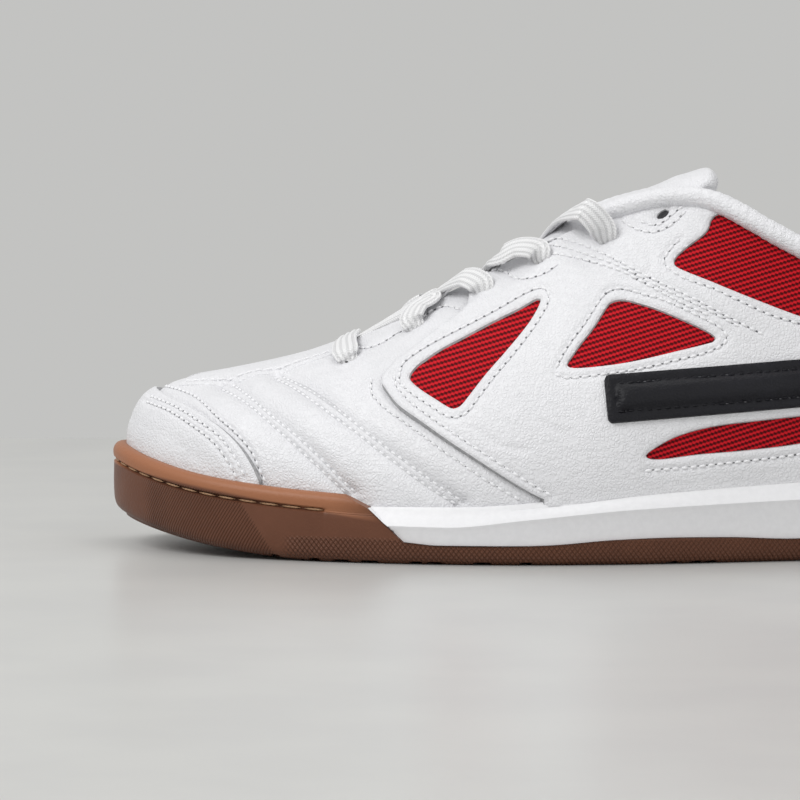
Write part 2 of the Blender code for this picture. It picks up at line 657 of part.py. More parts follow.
def make_side_band(name, side):
    """Padded straight band of one width over the quarter, its long edges parallel and its front end square."""
    front, back = (np.array([LENGTH * (s - 0.5), THROAT_HEIGHT * h]) for s, h in (BAND_FRONT, BAND_BACK))
    run = (back - front) / np.linalg.norm(back - front)
    rise = np.array([-run[1], run[0]]) * THROAT_HEIGHT * BAND_WIDTH / 2
    corners = [front + rise, front - rise, back - rise, back + rise]
    shares = [(x / LENGTH + 0.5, z / THROAT_HEIGHT) for x, z in corners]
    ring, rise = np.meshgrid(side * ring_ways(0.425, 0.80), shell_rises(0.20, 0.95), indexing="ij")
    band = make_overlay(name, BLACK_LEATHER, ring, rise, OVERLAY_GAP + OVERLAY + 2 * CLEARANCE)
    far = -side * BALL_WIDTH
    y_low, y_high = sorted((far, -side * 0.004))
    carve(band, prism(f"{name}_outline", rounded(shares, 0.06, 2), y_low, y_high), "INTERSECT")
    return band


def ribbon(path, facing):
    """Flat lace along a path: points and faces of a closed strip that lies square to its facing."""
    run = np.gradient(path, axis=0)
    run /= np.linalg.norm(run, axis=1, keepdims=True)
    side = np.cross(run, facing)
    side /= np.linalg.norm(side, axis=1, keepdims=True)
    up = np.cross(side, run)
    half, thick = LACE_WIDTH / 2, LACE_THICKNESS / 2
    corners = ((-1, 0), (-0.8, -1), (0.8, -1), (1, 0), (0.8, 1), (-0.8, 1))
    grid = np.stack([path + side * half * a + up * thick * b for a, b in corners], 1)
    count, sides = grid.shape[:2]
    faces = [list(range(sides)), list(range(count * sides - 1, (count - 1) * sides - 1, -1))]
    for i in range(count - 1):
        for j in range(sides):
            k = (j + 1) % sides
            faces.append([i * sides + j, i * sides + k, (i + 1) * sides + k, (i + 1) * sides + j])
    return grid.reshape(-1, 3), faces


def lace_path(start_way, end_way, side):
    """Path of one crossing: from an eyelet over the throat's edge and the tongue to the other eyelet."""
    lift = OVERLAY_GAP + OVERLAY + CLEARANCE + LACE_THICKNESS / 2
    start = [shell_point(side * start_way, v, lift) for v in (EYELET_RISE, 0.97, 0.995)]
    end = [shell_point(-side * end_way, v, lift) for v in (0.995, 0.97, EYELET_RISE)]
    a, b = start[-1], end[0]
    first, last = a - start[-2], end[1] - b
    span = np.linalg.norm(b - a)
    first, last = first / np.linalg.norm(first), last / np.linalg.norm(last)
    s = np.linspace(0, 1, 7)[1:-1, None]
    bridge = (a * (1 + 2 * s) * (1 - s) ** 2 + first * span * s * (1 - s) ** 2
              + b * s ** 2 * (3 - 2 * s) - last * span * s ** 2 * (1 - s))
    bridge[:, 2] += LACE_CROWN
    return np.concatenate([start, bridge, end])


def make_laces():
    """Crossed flat laces, joined where they cross and where they share an eyelet."""
    strips = []
    facing = np.array([-math.sin(math.radians(28)), 0, math.cos(math.radians(28))])
    pairs = [(EYELET_WAYS[0], EYELET_WAYS[0], 1)]
    for low, high in zip(EYELET_WAYS[:LACED - 1], EYELET_WAYS[1:LACED]):
        pairs += [(low, high, 1), (low, high, -1)]
    for number, (low, high, side) in enumerate(pairs):
        strips.append(finish(f"lace_strip_{number}", WHITE_LACE, *ribbon(lace_path(low, high, side), facing)))
    laces = strips[0]
    laces.name = "laces"
    for strip in strips[1:]:
        strip.hide_render = True
        strip.display_type = "WIRE"
        carve(laces, strip, "UNION")
    return laces


def main():
    for item in list(bpy.data.objects):
        bpy.data.objects.remove(item)
    make_outsole()
    make_midsole()
    make_insole()
    make_upper()
    make_tongue()
    make_toe_cap()
    make_heel_counter()
    make_quarter("quarter_lateral", 1)
    make_quarter("quarter_medial", -1)
    make_side_band("band_lateral", 1)
    make_side_band("band_medial", -1)
    make_collar_roll()
    make_laces()


main()
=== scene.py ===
import math

import bmesh
import bpy
import numpy as np
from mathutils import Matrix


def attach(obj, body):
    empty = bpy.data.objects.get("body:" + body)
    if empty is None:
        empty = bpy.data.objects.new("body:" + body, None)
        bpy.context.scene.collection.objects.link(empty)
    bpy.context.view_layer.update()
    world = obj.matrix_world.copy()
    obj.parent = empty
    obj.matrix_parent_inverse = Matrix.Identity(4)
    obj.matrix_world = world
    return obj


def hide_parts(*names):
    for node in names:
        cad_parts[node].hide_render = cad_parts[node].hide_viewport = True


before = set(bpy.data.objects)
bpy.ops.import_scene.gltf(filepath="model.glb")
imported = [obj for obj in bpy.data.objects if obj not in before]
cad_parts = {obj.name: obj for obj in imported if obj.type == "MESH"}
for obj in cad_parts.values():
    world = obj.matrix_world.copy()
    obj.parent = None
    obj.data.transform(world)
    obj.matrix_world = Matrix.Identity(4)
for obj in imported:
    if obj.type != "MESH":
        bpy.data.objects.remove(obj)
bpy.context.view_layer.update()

FINE = 1.0

# Sizes in metres that the solids share
LENGTH = 0.290
BALL_WIDTH = 0.105
THROAT_HEIGHT = 0.0905
TOE_SPRING = 0.009
HEEL_BEVEL = 0.0025
WALL = 0.002
CLEARANCE = 0.0003
RIM_WIDTH = 0.0038
ROLL_WIDTH = 0.0064
ROLL_HEIGHT = 0.0054
LACE_WIDTH = 0.0072
LACE_THICKNESS = 0.0019
TREAD_DEPTH = 0.0012
WAIST_DEPTH = 0.0015

# Plan of the sole's edge: way from toe to heel, outer side, inner side, as shares of BALL_WIDTH
OUTLINE = (
    (0.0, 0.086, 0.086), (0.1, -0.114, 0.286), (0.2, -0.314, 0.405), (0.3, -0.452, 0.462),
    (0.4, -0.529, 0.471), (0.5, -0.490, 0.367), (0.6, -0.395, 0.290), (0.7, -0.362, 0.329),
    (0.8, -0.338, 0.343), (0.9, -0.224, 0.238), (1.0, 0.005, 0.005),
)
# Heights along the shoe: share of LENGTH from the toe, share of THROAT_HEIGHT
CUP_RIM = ((0.0, 0.300), (0.03, 0.268), (0.08, 0.232), (0.13, 0.212), (0.18, 0.198), (0.24, 0.188),
           (1.0, 0.188))
MIDSOLE_RIM = ((0.0, 0.300), (0.10, 0.220), (0.20, 0.160), (0.23, 0.158), (0.314, 0.160), (0.397, 0.178),
               (0.476, 0.206), (0.607, 0.234), (0.776, 0.262), (0.914, 0.288), (1.0, 0.302))
FACET = ((0.0, 0.210), (0.10, 0.150), (0.20, 0.109), (0.25, 0.108), (0.303, 0.106), (0.372, 0.127),
         (0.465, 0.154), (0.607, 0.174), (1.0, 0.212))
FEATHER = ((0.0, 0.306), (0.03, 0.274), (0.08, 0.238), (0.13, 0.218), (0.18, 0.203), (0.22, 0.186),
           (0.26, 0.171), (0.314, 0.166), (0.397, 0.184), (0.476, 0.212), (0.607, 0.240),
           (0.776, 0.268), (0.914, 0.294), (1.0, 0.308))
FOOTBED = ((0.0, 0.168), (0.1, 0.130), (0.2, 0.110), (0.3, 0.106), (0.45, 0.116), (0.6, 0.138),
           (0.75, 0.160), (0.9, 0.177), (1.0, 0.184))
GUM_TOP = ((0.2655, 0.062), (0.30, 0.053), (0.345, 0.0525), (0.39, 0.056), (0.452, 0.070), (0.50, 0.074),
           (0.55, 0.072), (0.607, 0.064), (0.75, 0.064), (0.90, 0.072), (1.02, 0.086))
WEDGE = ((0.207, 0.400), (0.2135, 0.190), (0.2345, 0.156))
MIDDLE = ((0.0, 0.086), (0.1, 0.078), (0.2, 0.055), (0.3, 0.038), (0.5, 0.010), (0.7, 0.0), (1.0, 0.005))
# Top line: way, share of LENGTH from the toe, half opening as a share of BALL_WIDTH, share of THROAT_HEIGHT
TOP_LINE = ((0.0, 0.076, 0.0, 0.491), (0.1, 0.090, 0.0, 0.496), (0.2, 0.131, 0.0, 0.521),
            (0.28, 0.179, 0.0, 0.558), (0.325, 0.207, 0.0, 0.589), (0.36, 0.245, 0.081, 0.637),
            (0.40, 0.293, 0.100, 0.712), (0.44, 0.352, 0.114, 0.802), (0.48, 0.417, 0.129, 0.908),
            (0.505, 0.466, 0.145, 0.968), (0.525, 0.508, 0.174, 0.996), (0.545, 0.543, 0.212, 0.982),
            (0.57, 0.583, 0.250, 0.914), (0.61, 0.652, 0.289, 0.797), (0.66, 0.718, 0.307, 0.713),
            (0.72, 0.790, 0.311, 0.680), (0.78, 0.852, 0.299, 0.697), (0.84, 0.903, 0.264, 0.742),
            (0.90, 0.941, 0.206, 0.802), (0.95, 0.964, 0.124, 0.850), (1.0, 0.974, 0.0, 0.873))
THROAT_START = 0.325
# Bend of each section: way, rise and reach of its handles, lean at the sole, turn and dip of the top handle
SECTIONS = (
    (0.0, 0.38, 0.40, 0, 0, 8), (0.1, 0.37, 0.42, 0, 38, 6), (0.2, 0.33, 0.44, 0, 70, 4),
    (0.28, 0.31, 0.45, 0, 85, 3), (0.325, 0.31, 0.43, 0, 90, 6), (0.36, 0.32, 0.40, 0, 90, 16),
    (0.40, 0.34, 0.38, 0, 90, 23), (0.44, 0.36, 0.36, 0, 90, 31), (0.48, 0.36, 0.34, 1, 90, 41),
    (0.525, 0.36, 0.33, 2, 90, 60), (0.57, 0.36, 0.33, 3, 90, 76), (0.66, 0.36, 0.33, 4, 90, 82),
    (0.78, 0.36, 0.33, 5, 95, 85), (0.90, 0.36, 0.33, 6, 130, 84), (1.0, 0.36, 0.33, 8, 180, 84),
)
TONGUE_LIP = ((22, 0.0075, 0.30), (28, 0.0080, 0.20), (16, 0.0085, 0.10), (-36, 0.0050, 0.22))
LIP_ROUNDING = 0.3
TONGUE_ARC = 0.0026
TONGUE_DIP = 0.0012
TREAD = ((0.150, 0.0020), (0.185, 0.0020), (0.2345, 0.0040), (0.275, 0.0020), (0.333, 0.0036),
         (0.372, 0.0020), (0.500, 0.0016), (0.512, 0.0016), (0.524, 0.0016), (0.536, 0.0016),
         (0.780, 0.0020), (0.830, 0.0020), (0.880, 0.0020))
WAIST = (0.575, 0.735)
# Gum wall: inset and height over the tread at its foot, then inset, height against the rim and share of
# the stitched groove's depth at its top; the groove ends at a share of LENGTH
GUM_FOOT = ((0.0034, 0.0), (0.0024, 0.0003), (0.0016, 0.0008), (0.0010, 0.0014), (0.0006, 0.0022),
            (0.0003, 0.0034))
GUM_RIM = ((0.0002, -0.0050, 0), (0.0003, -0.0048, 0.2), (0.0002, -0.0046, 1), (0.0003, -0.0043, 1),
           (0.0002, -0.0040, 1), (0.0002, -0.0038, 0.2), (0.0001, -0.0035, 0), (0.0, -0.0028, 0),
           (0.0, -0.0020, 0), (0.0002, -0.0013, 0), (0.0005, -0.0008, 0), (0.0010, -0.0003, 0),
           (0.0017, 0.0, 0), (0.0026, 0.0001, 0), (0.0032, 0.0, 0), (RIM_WIDTH - 0.0002, -0.0003, 0),
           (RIM_WIDTH, -0.0008, 0))
GROOVE_END = 0.198

# The photograph's view: pixels a metre at the outer side, and where its middle column and row lie
IMAGE = 800
PIXELS = 4000.0
PIXEL = 1 / PIXELS
PIXELS_A_MM = PIXELS / 1000
VIEW_X = -0.06875
OUTER_SIDE = -0.0527
CAMERA_DISTANCE = 1.0
CAMERA_HEIGHT = 0.100
FLOOR_ROW = 567
VIEW_Z = (FLOOR_ROW - IMAGE / 2) * PIXEL
FLOOR_DEPTH = 0.476

# Outlines and rows, each point a column and row of the photograph on the outer side
CAP_EDGE = ((157, 340), (158, 384), (160, 392), (173, 400), (192, 409), (212, 422), (227, 433.5),
            (241, 448), (251, 463), (257, 475), (262, 490), (264, 530))
CAP_ROWS = (((153, 399), (175, 408), (197, 421), (222, 439), (238, 460), (248, 479)),
            ((149, 404), (171, 413), (192, 426), (216, 444), (231, 464), (240, 481)))
VAMP_ROWS = (((165, 385), (180, 389), (197, 397), (216, 415), (235, 432), (251, 451), (258, 469),
              (264, 481)),)
QUILT_ROWS = (((220, 383), (235, 391), (250, 402), (267, 418), (288, 438), (299, 449), (317, 467),
               (338, 488), (348, 498)),
              ((228, 377), (242, 386), (256, 399), (274.5, 415.5), (296, 434), (319, 457), (338, 478),
               (353, 493)),
              ((275.5, 373), (289, 380), (305, 391), (321, 403), (346, 422), (359, 432), (380, 450),
               (394, 461), (410, 474), (432, 490), (457, 506.6)),
              ((281, 370.6), (296, 378), (309, 385), (330, 399), (342, 409), (361, 425), (380, 441),
               (395, 453), (410, 464.5), (434, 483), (463, 503)))
QUARTER_EDGE = ((470.5, 300), (466, 310.6), (457, 319), (431, 338), (411, 353.5), (395.5, 366), (386, 376),
                (383, 384), (388, 393), (400, 408), (424, 425), (447, 441), (467, 454), (490.5, 469),
                (514, 483.5), (535, 495), (556, 504))
QUARTER_ROWS = (((371, 377), (372, 393), (385, 408), (403, 421), (429, 440), (443, 451), (457, 460),
                 (481, 477), (509, 494), (524, 502)),
                ((395, 378), (399, 391), (414, 407), (436, 423), (460, 439), (480, 452), (505, 468),
                 (530, 484), (552, 496)))
FRONT_WINDOW = ((410.8, 376), (418, 367), (427, 360.6), (441, 351), (462, 340), (492, 324), (520, 310),
                (538, 300), (541, 304), (530, 324), (509, 350), (487, 375), (472, 394), (462, 406.5),
                (455, 410), (449.6, 409), (435, 400), (421, 391), (411, 382))
MIDDLE_WINDOW = ((567, 366), (573, 356), (580, 346), (594, 328), (606, 309), (611, 303.5), (623.5, 301),
                 (640, 305), (659, 311), (692, 325), (713, 336), (714, 342), (706, 345), (678, 352),
                 (636, 362), (605, 367), (575, 369.5))
REAR_WINDOW = ((645, 456), (661, 444), (683, 434), (715, 426), (755, 421), (800, 416), (860, 409),
               (912, 403), (918, 408), (900, 420), (860, 431), (800, 444), (744, 451), (698, 455),
               (658, 460))
COLLAR_WINDOW = ((720, 214), (706, 233), (687, 248), (676, 258), (674, 265), (678, 269), (688, 273.5),
                 (706, 280.5), (734, 292), (762, 303), (800, 317), (850, 331), (872, 333), (884, 326),
                 (890, 300), (890, 250), (840, 230), (780, 215))
WINDOW_ROWS = (((643, 471), (682, 468), (728, 463), (800, 454), (880, 438), (930, 424)),
               ((681, 240), (670, 252), (664, 264), (671, 272), (689, 282), (713, 290), (737, 301.5),
                (769, 316), (796, 324), (850, 341), (884, 345)),
               ((401, 376), (405, 366), (421, 354), (441, 342), (470, 327), (500, 311), (530, 294),
                (545, 291), (550, 302), (538, 325), (517, 353), (495, 379), (479, 400), (466, 416),
                (450, 419), (432, 409), (415, 398), (401, 386), (401, 376)),
               ((556, 371), (563, 357), (572, 343), (587, 323), (599, 304), (609, 293), (625, 291),
                (645, 297), (664, 302), (697, 317), (722, 331), (725, 343), (709, 353), (680, 361),
                (638, 371), (605, 376), (570, 380), (557, 377)))
SEAM_ROWS = (
    ((541, 237), (565, 242), (588, 249), (614, 261), (639, 274), (667, 288), (696.5, 302), (734, 322),
     (760, 335)),
    ((548, 247), (570, 251), (590, 258), (619, 268), (646, 282), (674, 296), (704, 310), (736, 327)),
    ((553, 256), (575, 260), (598, 266), (625, 275), (653, 290), (682, 305), (712, 319)),
)
EYELET_ROWS = (
    ((622, 222), (636, 231), (653, 234.5), (667, 230), (678, 222), (689, 210)),
    ((640, 223), (650, 226.5), (661, 226), (672, 217), (684, 208)),
    ((484, 277), (495, 272.5), (507, 275), (516, 281), (531, 281), (548, 275), (560, 266)),
    ((420, 318), (432, 309), (446, 305), (458, 308), (468, 306), (478, 299)),
    ((356, 346), (367, 347), (383, 341), (398, 331), (409, 329)),
)
HEEL_ROWS = (((1070, 478), (1086, 440), (1104, 404), (1124, 372), (1150, 344), (1180, 326)),
             ((1062, 476), (1078, 436), (1096, 400), (1117, 367), (1143, 338), (1174, 319)))
HEEL_EDGE = ((1082, 540), (1084, 480), (1096, 444), (1112, 410), (1131, 380), (1156, 352), (1186, 332),
             (1240, 316), (1400, 300))
EYELETS = ((348, 360), (415, 326), (484.5, 294), (541, 261), (606, 241), (663.5, 215.5))
LACED = 5
# Laces: how far each pair of crossings stands off the eyestay, the most that it does so on the inner side,
# and by how many pixels it turns over the edge behind its eyelet
LACE_ARCHES = (-0.0006, -0.0003, 0.0015, 0.0024, 0.0056)
LOW_ARCH = 0.0006
LACE_SLIPS = (12, 20, -20, -30, -12)
LACE_RIBS = 4
# Straight padded band, in pixels: middle of its front end, slope, half width, last column and the seam's
# way in from its edge, which is also given in millimetres
BAND_FRONT = (606, 402)
BAND_SLOPE = -0.091
BAND_HALF = 23.0
BAND_END = 1085
BAND_MARGIN = 9.5
BAND_SEAM = 2.4
# Near edge of the raised strip over the vamp's ridge, from the toe cap to the throat
STRIP_EDGE = ((163, 390), (181, 386), (202, 385), (216, 382), (229, 379), (250, 377), (275, 373),
              (300, 365), (322, 356))
# Soft creases where the leather bends or is drawn over the last
CREASES = (((322, 370), (341, 381), (356, 400)),
           ((336, 365), (354, 379), (367, 396)),
           ((300, 376), (322, 392), (340, 412)),
           ((560, 282), (592, 292), (628, 297)),
           ((588, 268), (612, 279), (634, 283)),
           ((520, 400), (540, 424), (566, 436)),
           ((476, 430), (500, 446), (528, 452)),
           ((645, 246), (652, 262), (648, 280)))
# Leather: thickness, a seam's trough as its depth and half width in pixels, pixels that the side panel runs
# on under the heel counter, millimetres of mesh beyond its window, place of the strip's seam as a share
LEATHER_THICKNESS = 0.0011
SEAM_TROUGH = (0.00042, 2.6)
HEEL_OVERLAP = 8
MESH_TUCK = 1.6
STRIP_SEAM = 0.80
GRAIN_CELLS = 1050
# Distances are measured up to a reach in pixels; a panel's foot is tucked behind the sole's rim, and its
# cut edge slants out over a share of a grid cell
REACH = 40.0
FOOT_RISE = 0.004
FOOT_TUCK = 0.0018
CUT_WIDTH = 0.32
# Length, width and thickness of a stitch, and of the needle hole between two
THREAD_SIZE = np.array([0.00185, 0.00078, 0.00070])
HOLE_SIZE = np.array([0.00046, 0.00040, 0.0])
SOLE_THREAD_SIZE = np.array([0.0052, 0.0006, 0.0005])
# Lights: name, place, size and power
LIGHTS = (("key", (-0.9, -0.6, 1.1), 0.8, 12.0), ("fill", (0.9, -1.5, 0.5), 1.4, 6.2),
          ("top", (0.1, 0.2, 1.4), 0.8, 3.5))


def columns(table):
    """The table's columns as arrays."""
    return [np.array(column, float) for column in zip(*table)]


def unit(vectors):
    """The vectors brought to a length of one."""
    return vectors / np.linalg.norm(vectors, axis=-1, keepdims=True)


def lengths(path):
    """Length run along a path up to each of its points."""
    return np.concatenate([[0], np.cumsum(np.linalg.norm(np.diff(path, axis=0), axis=1))])


def bell(off, width, power=2):
    """Bell curve of the distance off its middle: 1 there, small beyond the width."""
    return np.exp(-(off / width) ** power)


def ramp(value, start, run):
    """Straight rise from 0 at start to 1 a run further on."""
    return np.clip((value - start) / run, 0, 1)


def share_of(x):
    """Share of the shoe's length that lies between the toe and x."""
    return x / LENGTH + 0.5


def spline(knots, values, at):
    """Cubic spline with free ends through the values, level beyond the first and last knot."""
    gaps = np.diff(knots)
    slopes = np.diff(values) / gaps
    size = len(knots)
    matrix = np.eye(size)
    right = np.zeros(size)
    for i in range(1, size - 1):
        matrix[i, i - 1:i + 2] = gaps[i - 1], 2 * (gaps[i - 1] + gaps[i]), gaps[i]
        right[i] = 6 * (slopes[i] - slopes[i - 1])
    bends = np.linalg.solve(matrix, right)
    at = np.clip(at, knots[0], knots[-1])
    i = np.clip(np.searchsorted(knots, at, side="right") - 1, 0, size - 2)
    left, step = at - knots[i], gaps[i]
    rise = slopes[i] - step * (2 * bends[i] + bends[i + 1]) / 6
    return values[i] + left * (rise + left * (bends[i] / 2 + left * (bends[i + 1] - bends[i]) / (6 * step)))


def steady(knots, values, at):
    """Cubic curve through the values that never swings past them."""
    gaps = np.diff(knots)
    slopes = np.diff(values) / gaps
    tilts = np.concatenate([slopes[:1], (slopes[1:] + slopes[:-1]) / 2, slopes[-1:]])
    for i, (low, high) in enumerate(zip(slopes[:-1], slopes[1:]), 1):
        tilts[i] = 0.0 if low * high <= 0 else 2 * low * high / (low + high)
    at = np.clip(at, knots[0], knots[-1])
    i = np.clip(np.searchsorted(knots, at, side="right") - 1, 0, len(knots) - 2)
    share, step = (at - knots[i]) / gaps[i], gaps[i]
    return (values[i] * (1 + 2 * share) * (1 - share) ** 2 + step * tilts[i] * share * (1 - share) ** 2
            + values[i + 1] * share ** 2 * (3 - 2 * share) - step * tilts[i + 1] * share ** 2 * (1 - share))


def height(table, x):
    """Height at x from a table of shares along the shoe."""
    shares, heights = columns(table)
    return THROAT_HEIGHT * steady(shares, heights, share_of(x))


def along(table, way):
    """Each column of a table by way, as smooth curves that mirror at toe and heel."""
    ways, *values = columns(table)
    knots = np.concatenate([-ways[:0:-1], ways, 2 - ways[-2::-1]])
    return [spline(knots, np.concatenate([v[:0:-1], v, v[-2::-1]]), np.abs(way)) for v in values]


def side_step(ring):
    """Share of BALL_WIDTH at which the sole's edge lies beside the heel's axis, on a closed spline."""
    ways, outer, inner = columns(OUTLINE)
    knots = np.concatenate([-ways[:0:-1], ways])
    values = np.concatenate([inner[:0:-1], outer])
    wrapped = np.concatenate([knots[:-1] - 2, knots, knots[1:] + 2])
    return spline(wrapped, np.concatenate([values[:-1], values, values[1:]]), ring)


STEPS_OF_SIDE = side_step(np.linspace(-1, 1, 145))
PLAN_SHIFT = BALL_WIDTH * (STEPS_OF_SIDE.max() + STEPS_OF_SIDE.min()) / 2


def outline(ring):
    """Plan of the sole's edge at a ring parameter: x runs as a cosine."""
    return -LENGTH / 2 * np.cos(math.pi * ring), side_step(ring) * BALL_WIDTH - PLAN_SHIFT


def outward(ring):
    """Unit normal of the plan outline, pointing away from the foot."""
    step = 0.004
    x0, y0 = outline(ring - step)
    x1, y1 = outline(ring + step)
    size = np.hypot(x1 - x0, y1 - y0)
    return (y1 - y0) / size, (x0 - x1) / size


def edge(ring, inset, z):
    """Points a given inset within the sole's outline, at heights z."""
    x, y = outline(ring)
    nx, ny = outward(ring)
    return np.stack(np.broadcast_arrays(x - inset * nx, y - inset * ny, z), -1)


def middle(x):
    """Side step of the shoe's middle line at x."""
    shares, steps = columns(MIDDLE)
    return BALL_WIDTH * spline(shares, steps, share_of(x)) - PLAN_SHIFT


def feather(ring):
    """Lower end of each section, where the upper leaves the sole's rim."""
    x, _ = outline(ring)
    return edge(ring, RIM_WIDTH + CLEARANCE, height(FEATHER, x))


def opening(ring):
    """Half opening of the throat or collar at a ring parameter, as a share of BALL_WIDTH."""
    ways, _, gap, _ = columns(TOP_LINE)
    return steady(ways, gap, np.abs(ring))


def top_line(ring):
    """Upper end of each section: the ridge of the vamp, then the edge of throat and collar."""
    share, _, rise = along(TOP_LINE, ring)
    x = LENGTH * (share - 0.5)
    return np.stack([x, middle(x) - np.sign(ring) * opening(ring) * BALL_WIDTH, rise * THROAT_HEIGHT], -1)


def surface(ring, rise):
    """The upper's outer face: each section is a cubic from the feather line to the top line."""
    ring, rise = np.broadcast_arrays(np.asarray(ring, float), np.asarray(rise, float))
    low, top = feather(ring), top_line(ring)
    chord = np.linalg.norm(top - low, axis=-1)
    up, reach, lean, turn, dip = along(SECTIONS, ring)
    lean, turn, dip = np.radians(lean), np.radians(turn), np.radians(dip)
    nx, ny = outward(ring)
    side = -np.sign(ring)
    start = np.stack([nx * np.sin(lean), ny * np.sin(lean), np.cos(lean)], -1)
    end = np.stack([-np.cos(turn) * np.cos(dip), side * np.sin(turn) * np.cos(dip), -np.sin(dip)], -1)
    first = low + start * (up * chord)[..., None]
    last = top + end * (reach * chord)[..., None]
    v = rise[..., None]
    return low * (1 - v) ** 3 + 3 * first * v * (1 - v) ** 2 + 3 * last * v ** 2 * (1 - v) + top * v ** 3


def normal(ring, rise):
    """Unit normal of the upper's outer face, from small steps in both parameters."""
    step = 0.004
    ring = np.where(np.abs(ring) < step, step, ring)
    rise = np.clip(rise, step, 0.985 - step)
    around = surface(ring + step, rise) - surface(ring - step, rise)
    upward = surface(ring, rise + step) - surface(ring, rise - step)
    return unit(np.cross(around, upward))


def bottom(x):
    """Height of the tread: toe spring in front, level under ball and heel, bevel at the back."""
    share = share_of(x)
    front = np.clip((0.235 - share) / 0.235, 0, None) ** 2.4
    back = np.clip((share - 0.93) / 0.07, 0, None) ** 2
    return TOE_SPRING * front + HEEL_BEVEL * back


def joint_height(x):
    """Height of the joint of gum and midsole: over the rim, down the wedge, then along the slab."""
    share = share_of(x)
    shares, heights = columns(WEDGE + GUM_TOP)
    front = np.interp(share, shares[:3], heights[:3])
    slant = np.interp(share, shares[2:4], heights[2:4])
    slab = steady(shares[3:], heights[3:], share)
    return THROAT_HEIGHT * np.where(share < shares[2], front, np.where(share < shares[3], slant, slab))


# The camera's place and axes, which also turn pixels of the photograph into places on the upper
PITCH = math.atan((CAMERA_HEIGHT - VIEW_Z) / CAMERA_DISTANCE)
EYE = np.array([VIEW_X, OUTER_SIDE - CAMERA_DISTANCE, CAMERA_HEIGHT])
FORWARD = np.array([0, math.cos(PITCH), -math.sin(PITCH)])
UPWARD = np.array([0, math.sin(PITCH), math.cos(PITCH)])
FOCAL = PIXELS * CAMERA_DISTANCE / math.cos(PITCH)


def picture(points):
    """Column and row at which the camera sees points."""
    away = points - EYE
    depth = away @ FORWARD
    column = IMAGE / 2 + FOCAL * away[..., 0] / depth
    row = IMAGE / 2 - FOCAL * (away @ UPWARD) / depth
    return np.stack([column, row], -1)


def seen_at(ring, rise):
    """Column and row of places on the upper, those of the inner side mirrored to the outer one."""
    return picture(surface(np.abs(ring), rise))


def locate(pixels):
    """Ring and rise of the places on the outer side that the camera sees at pixels, by Newton's method."""
    pixels = np.asarray(pixels, float)
    ways, heights = np.linspace(0.002, 0.995, 150), np.linspace(0.01, 0.99, 50)
    rings, rises = np.meshgrid(ways, heights, indexing="ij")
    seen = picture(surface(rings, rises)).reshape(-1, 2)
    nearest = [int(np.argmin(((seen - p) ** 2).sum(1))) for p in pixels]
    ring, rise = rings.reshape(-1)[nearest], rises.reshape(-1)[nearest]
    step = 1e-3
    for _ in range(8):
        here = picture(surface(ring, rise))
        d_ring = (picture(surface(ring + step, rise)) - here) / step
        d_rise = (picture(surface(ring, rise + step)) - here) / step
        miss = pixels - here
        det = d_ring[:, 0] * d_rise[:, 1] - d_ring[:, 1] * d_rise[:, 0]
        det = np.where(np.abs(det) < 1e3, 1e3, det)
        move_ring = (miss[:, 0] * d_rise[:, 1] - miss[:, 1] * d_rise[:, 0]) / det
        move_rise = (miss[:, 1] * d_ring[:, 0] - miss[:, 0] * d_ring[:, 1]) / det
        ring = np.clip(ring + np.clip(move_ring, -0.02, 0.02), 0.001, 0.999)
        rise = np.clip(rise + np.clip(move_rise, -0.05, 0.05), 0.0, 1.0)
    return ring, rise


def smoothed(points, closed=False, steps=6):
    """Curve through the points, each stretch a cubic whose ends point along its neighbours."""
    points = np.asarray(points, float)
    if closed:
        padded = np.concatenate([points[-1:], points, points[:2]])
    else:
        padded = np.concatenate([2 * points[:1] - points[1:2], points, 2 * points[-1:] - points[-2:-1]])
    p0, p1, p2, p3 = padded[:-3], padded[1:-2], padded[2:-1], padded[3:]
    s = np.linspace(0, 1, steps, endpoint=False)[:, None, None]
    curve = 0.5 * (2 * p1 + (p2 - p0) * s + (2 * p0 - 5 * p1 + 4 * p2 - p3) * s ** 2
                   + (3 * p1 - p0 - 3 * p2 + p3) * s ** 3)
    curve = curve.transpose(1, 0, 2).reshape(-1, points.shape[1])
    return curve if closed else np.concatenate([curve, points[-1:]])


def line_distance(places, line):
    """Distance from each place to the nearest point of a polyline, no more than the reach, in pixels."""
    flat = places.reshape(-1, 2)
    best = np.full(len(flat), REACH ** 2)
    near = np.flatnonzero(((flat > line.min(0) - REACH) & (flat < line.max(0) + REACH)).all(1))
    found, least = flat[near], best[near]
    for a, b in zip(line[:-1], line[1:]):
        run = b - a
        share = np.clip(((found - a) @ run) / max(run @ run, 1e-12), 0, 1)
        off = found - a - share[:, None] * run
        least = np.minimum(least, (off ** 2).sum(1))
    best[near] = least
    return np.sqrt(best).reshape(places.shape[:-1])


def inside_distance(places, loop):
    """Signed distance to a closed outline, positive within it, no more than the reach either way."""
    closed = np.concatenate([loop, loop[:1]])
    away = line_distance(places, closed)
    flat = places.reshape(-1, 2)
    near = np.flatnonzero(((flat > loop.min(0)) & (flat < loop.max(0))).all(1))
    found = flat[near]
    odd = np.zeros(len(near), bool)
    for a, b in zip(closed[:-1], closed[1:]):
        crosses = (a[1] > found[:, 1]) != (b[1] > found[:, 1])
        at = a[0] + (found[:, 1] - a[1]) * (b[0] - a[0]) / (b[1] - a[1] if b[1] != a[1] else 1e-9)
        odd ^= crosses & (found[:, 0] < at)
    within = np.zeros(len(flat), bool)
    within[near] = odd
    return np.where(within.reshape(places.shape[:-1]), away, -away)


def within_mm(seen, loop):
    """Millimetres from pixels of the outer side in to an outline's edge, negative beyond it."""
    return inside_distance(seen, loop) / PIXELS_A_MM


def fine(count):
    return int(count * FINE)


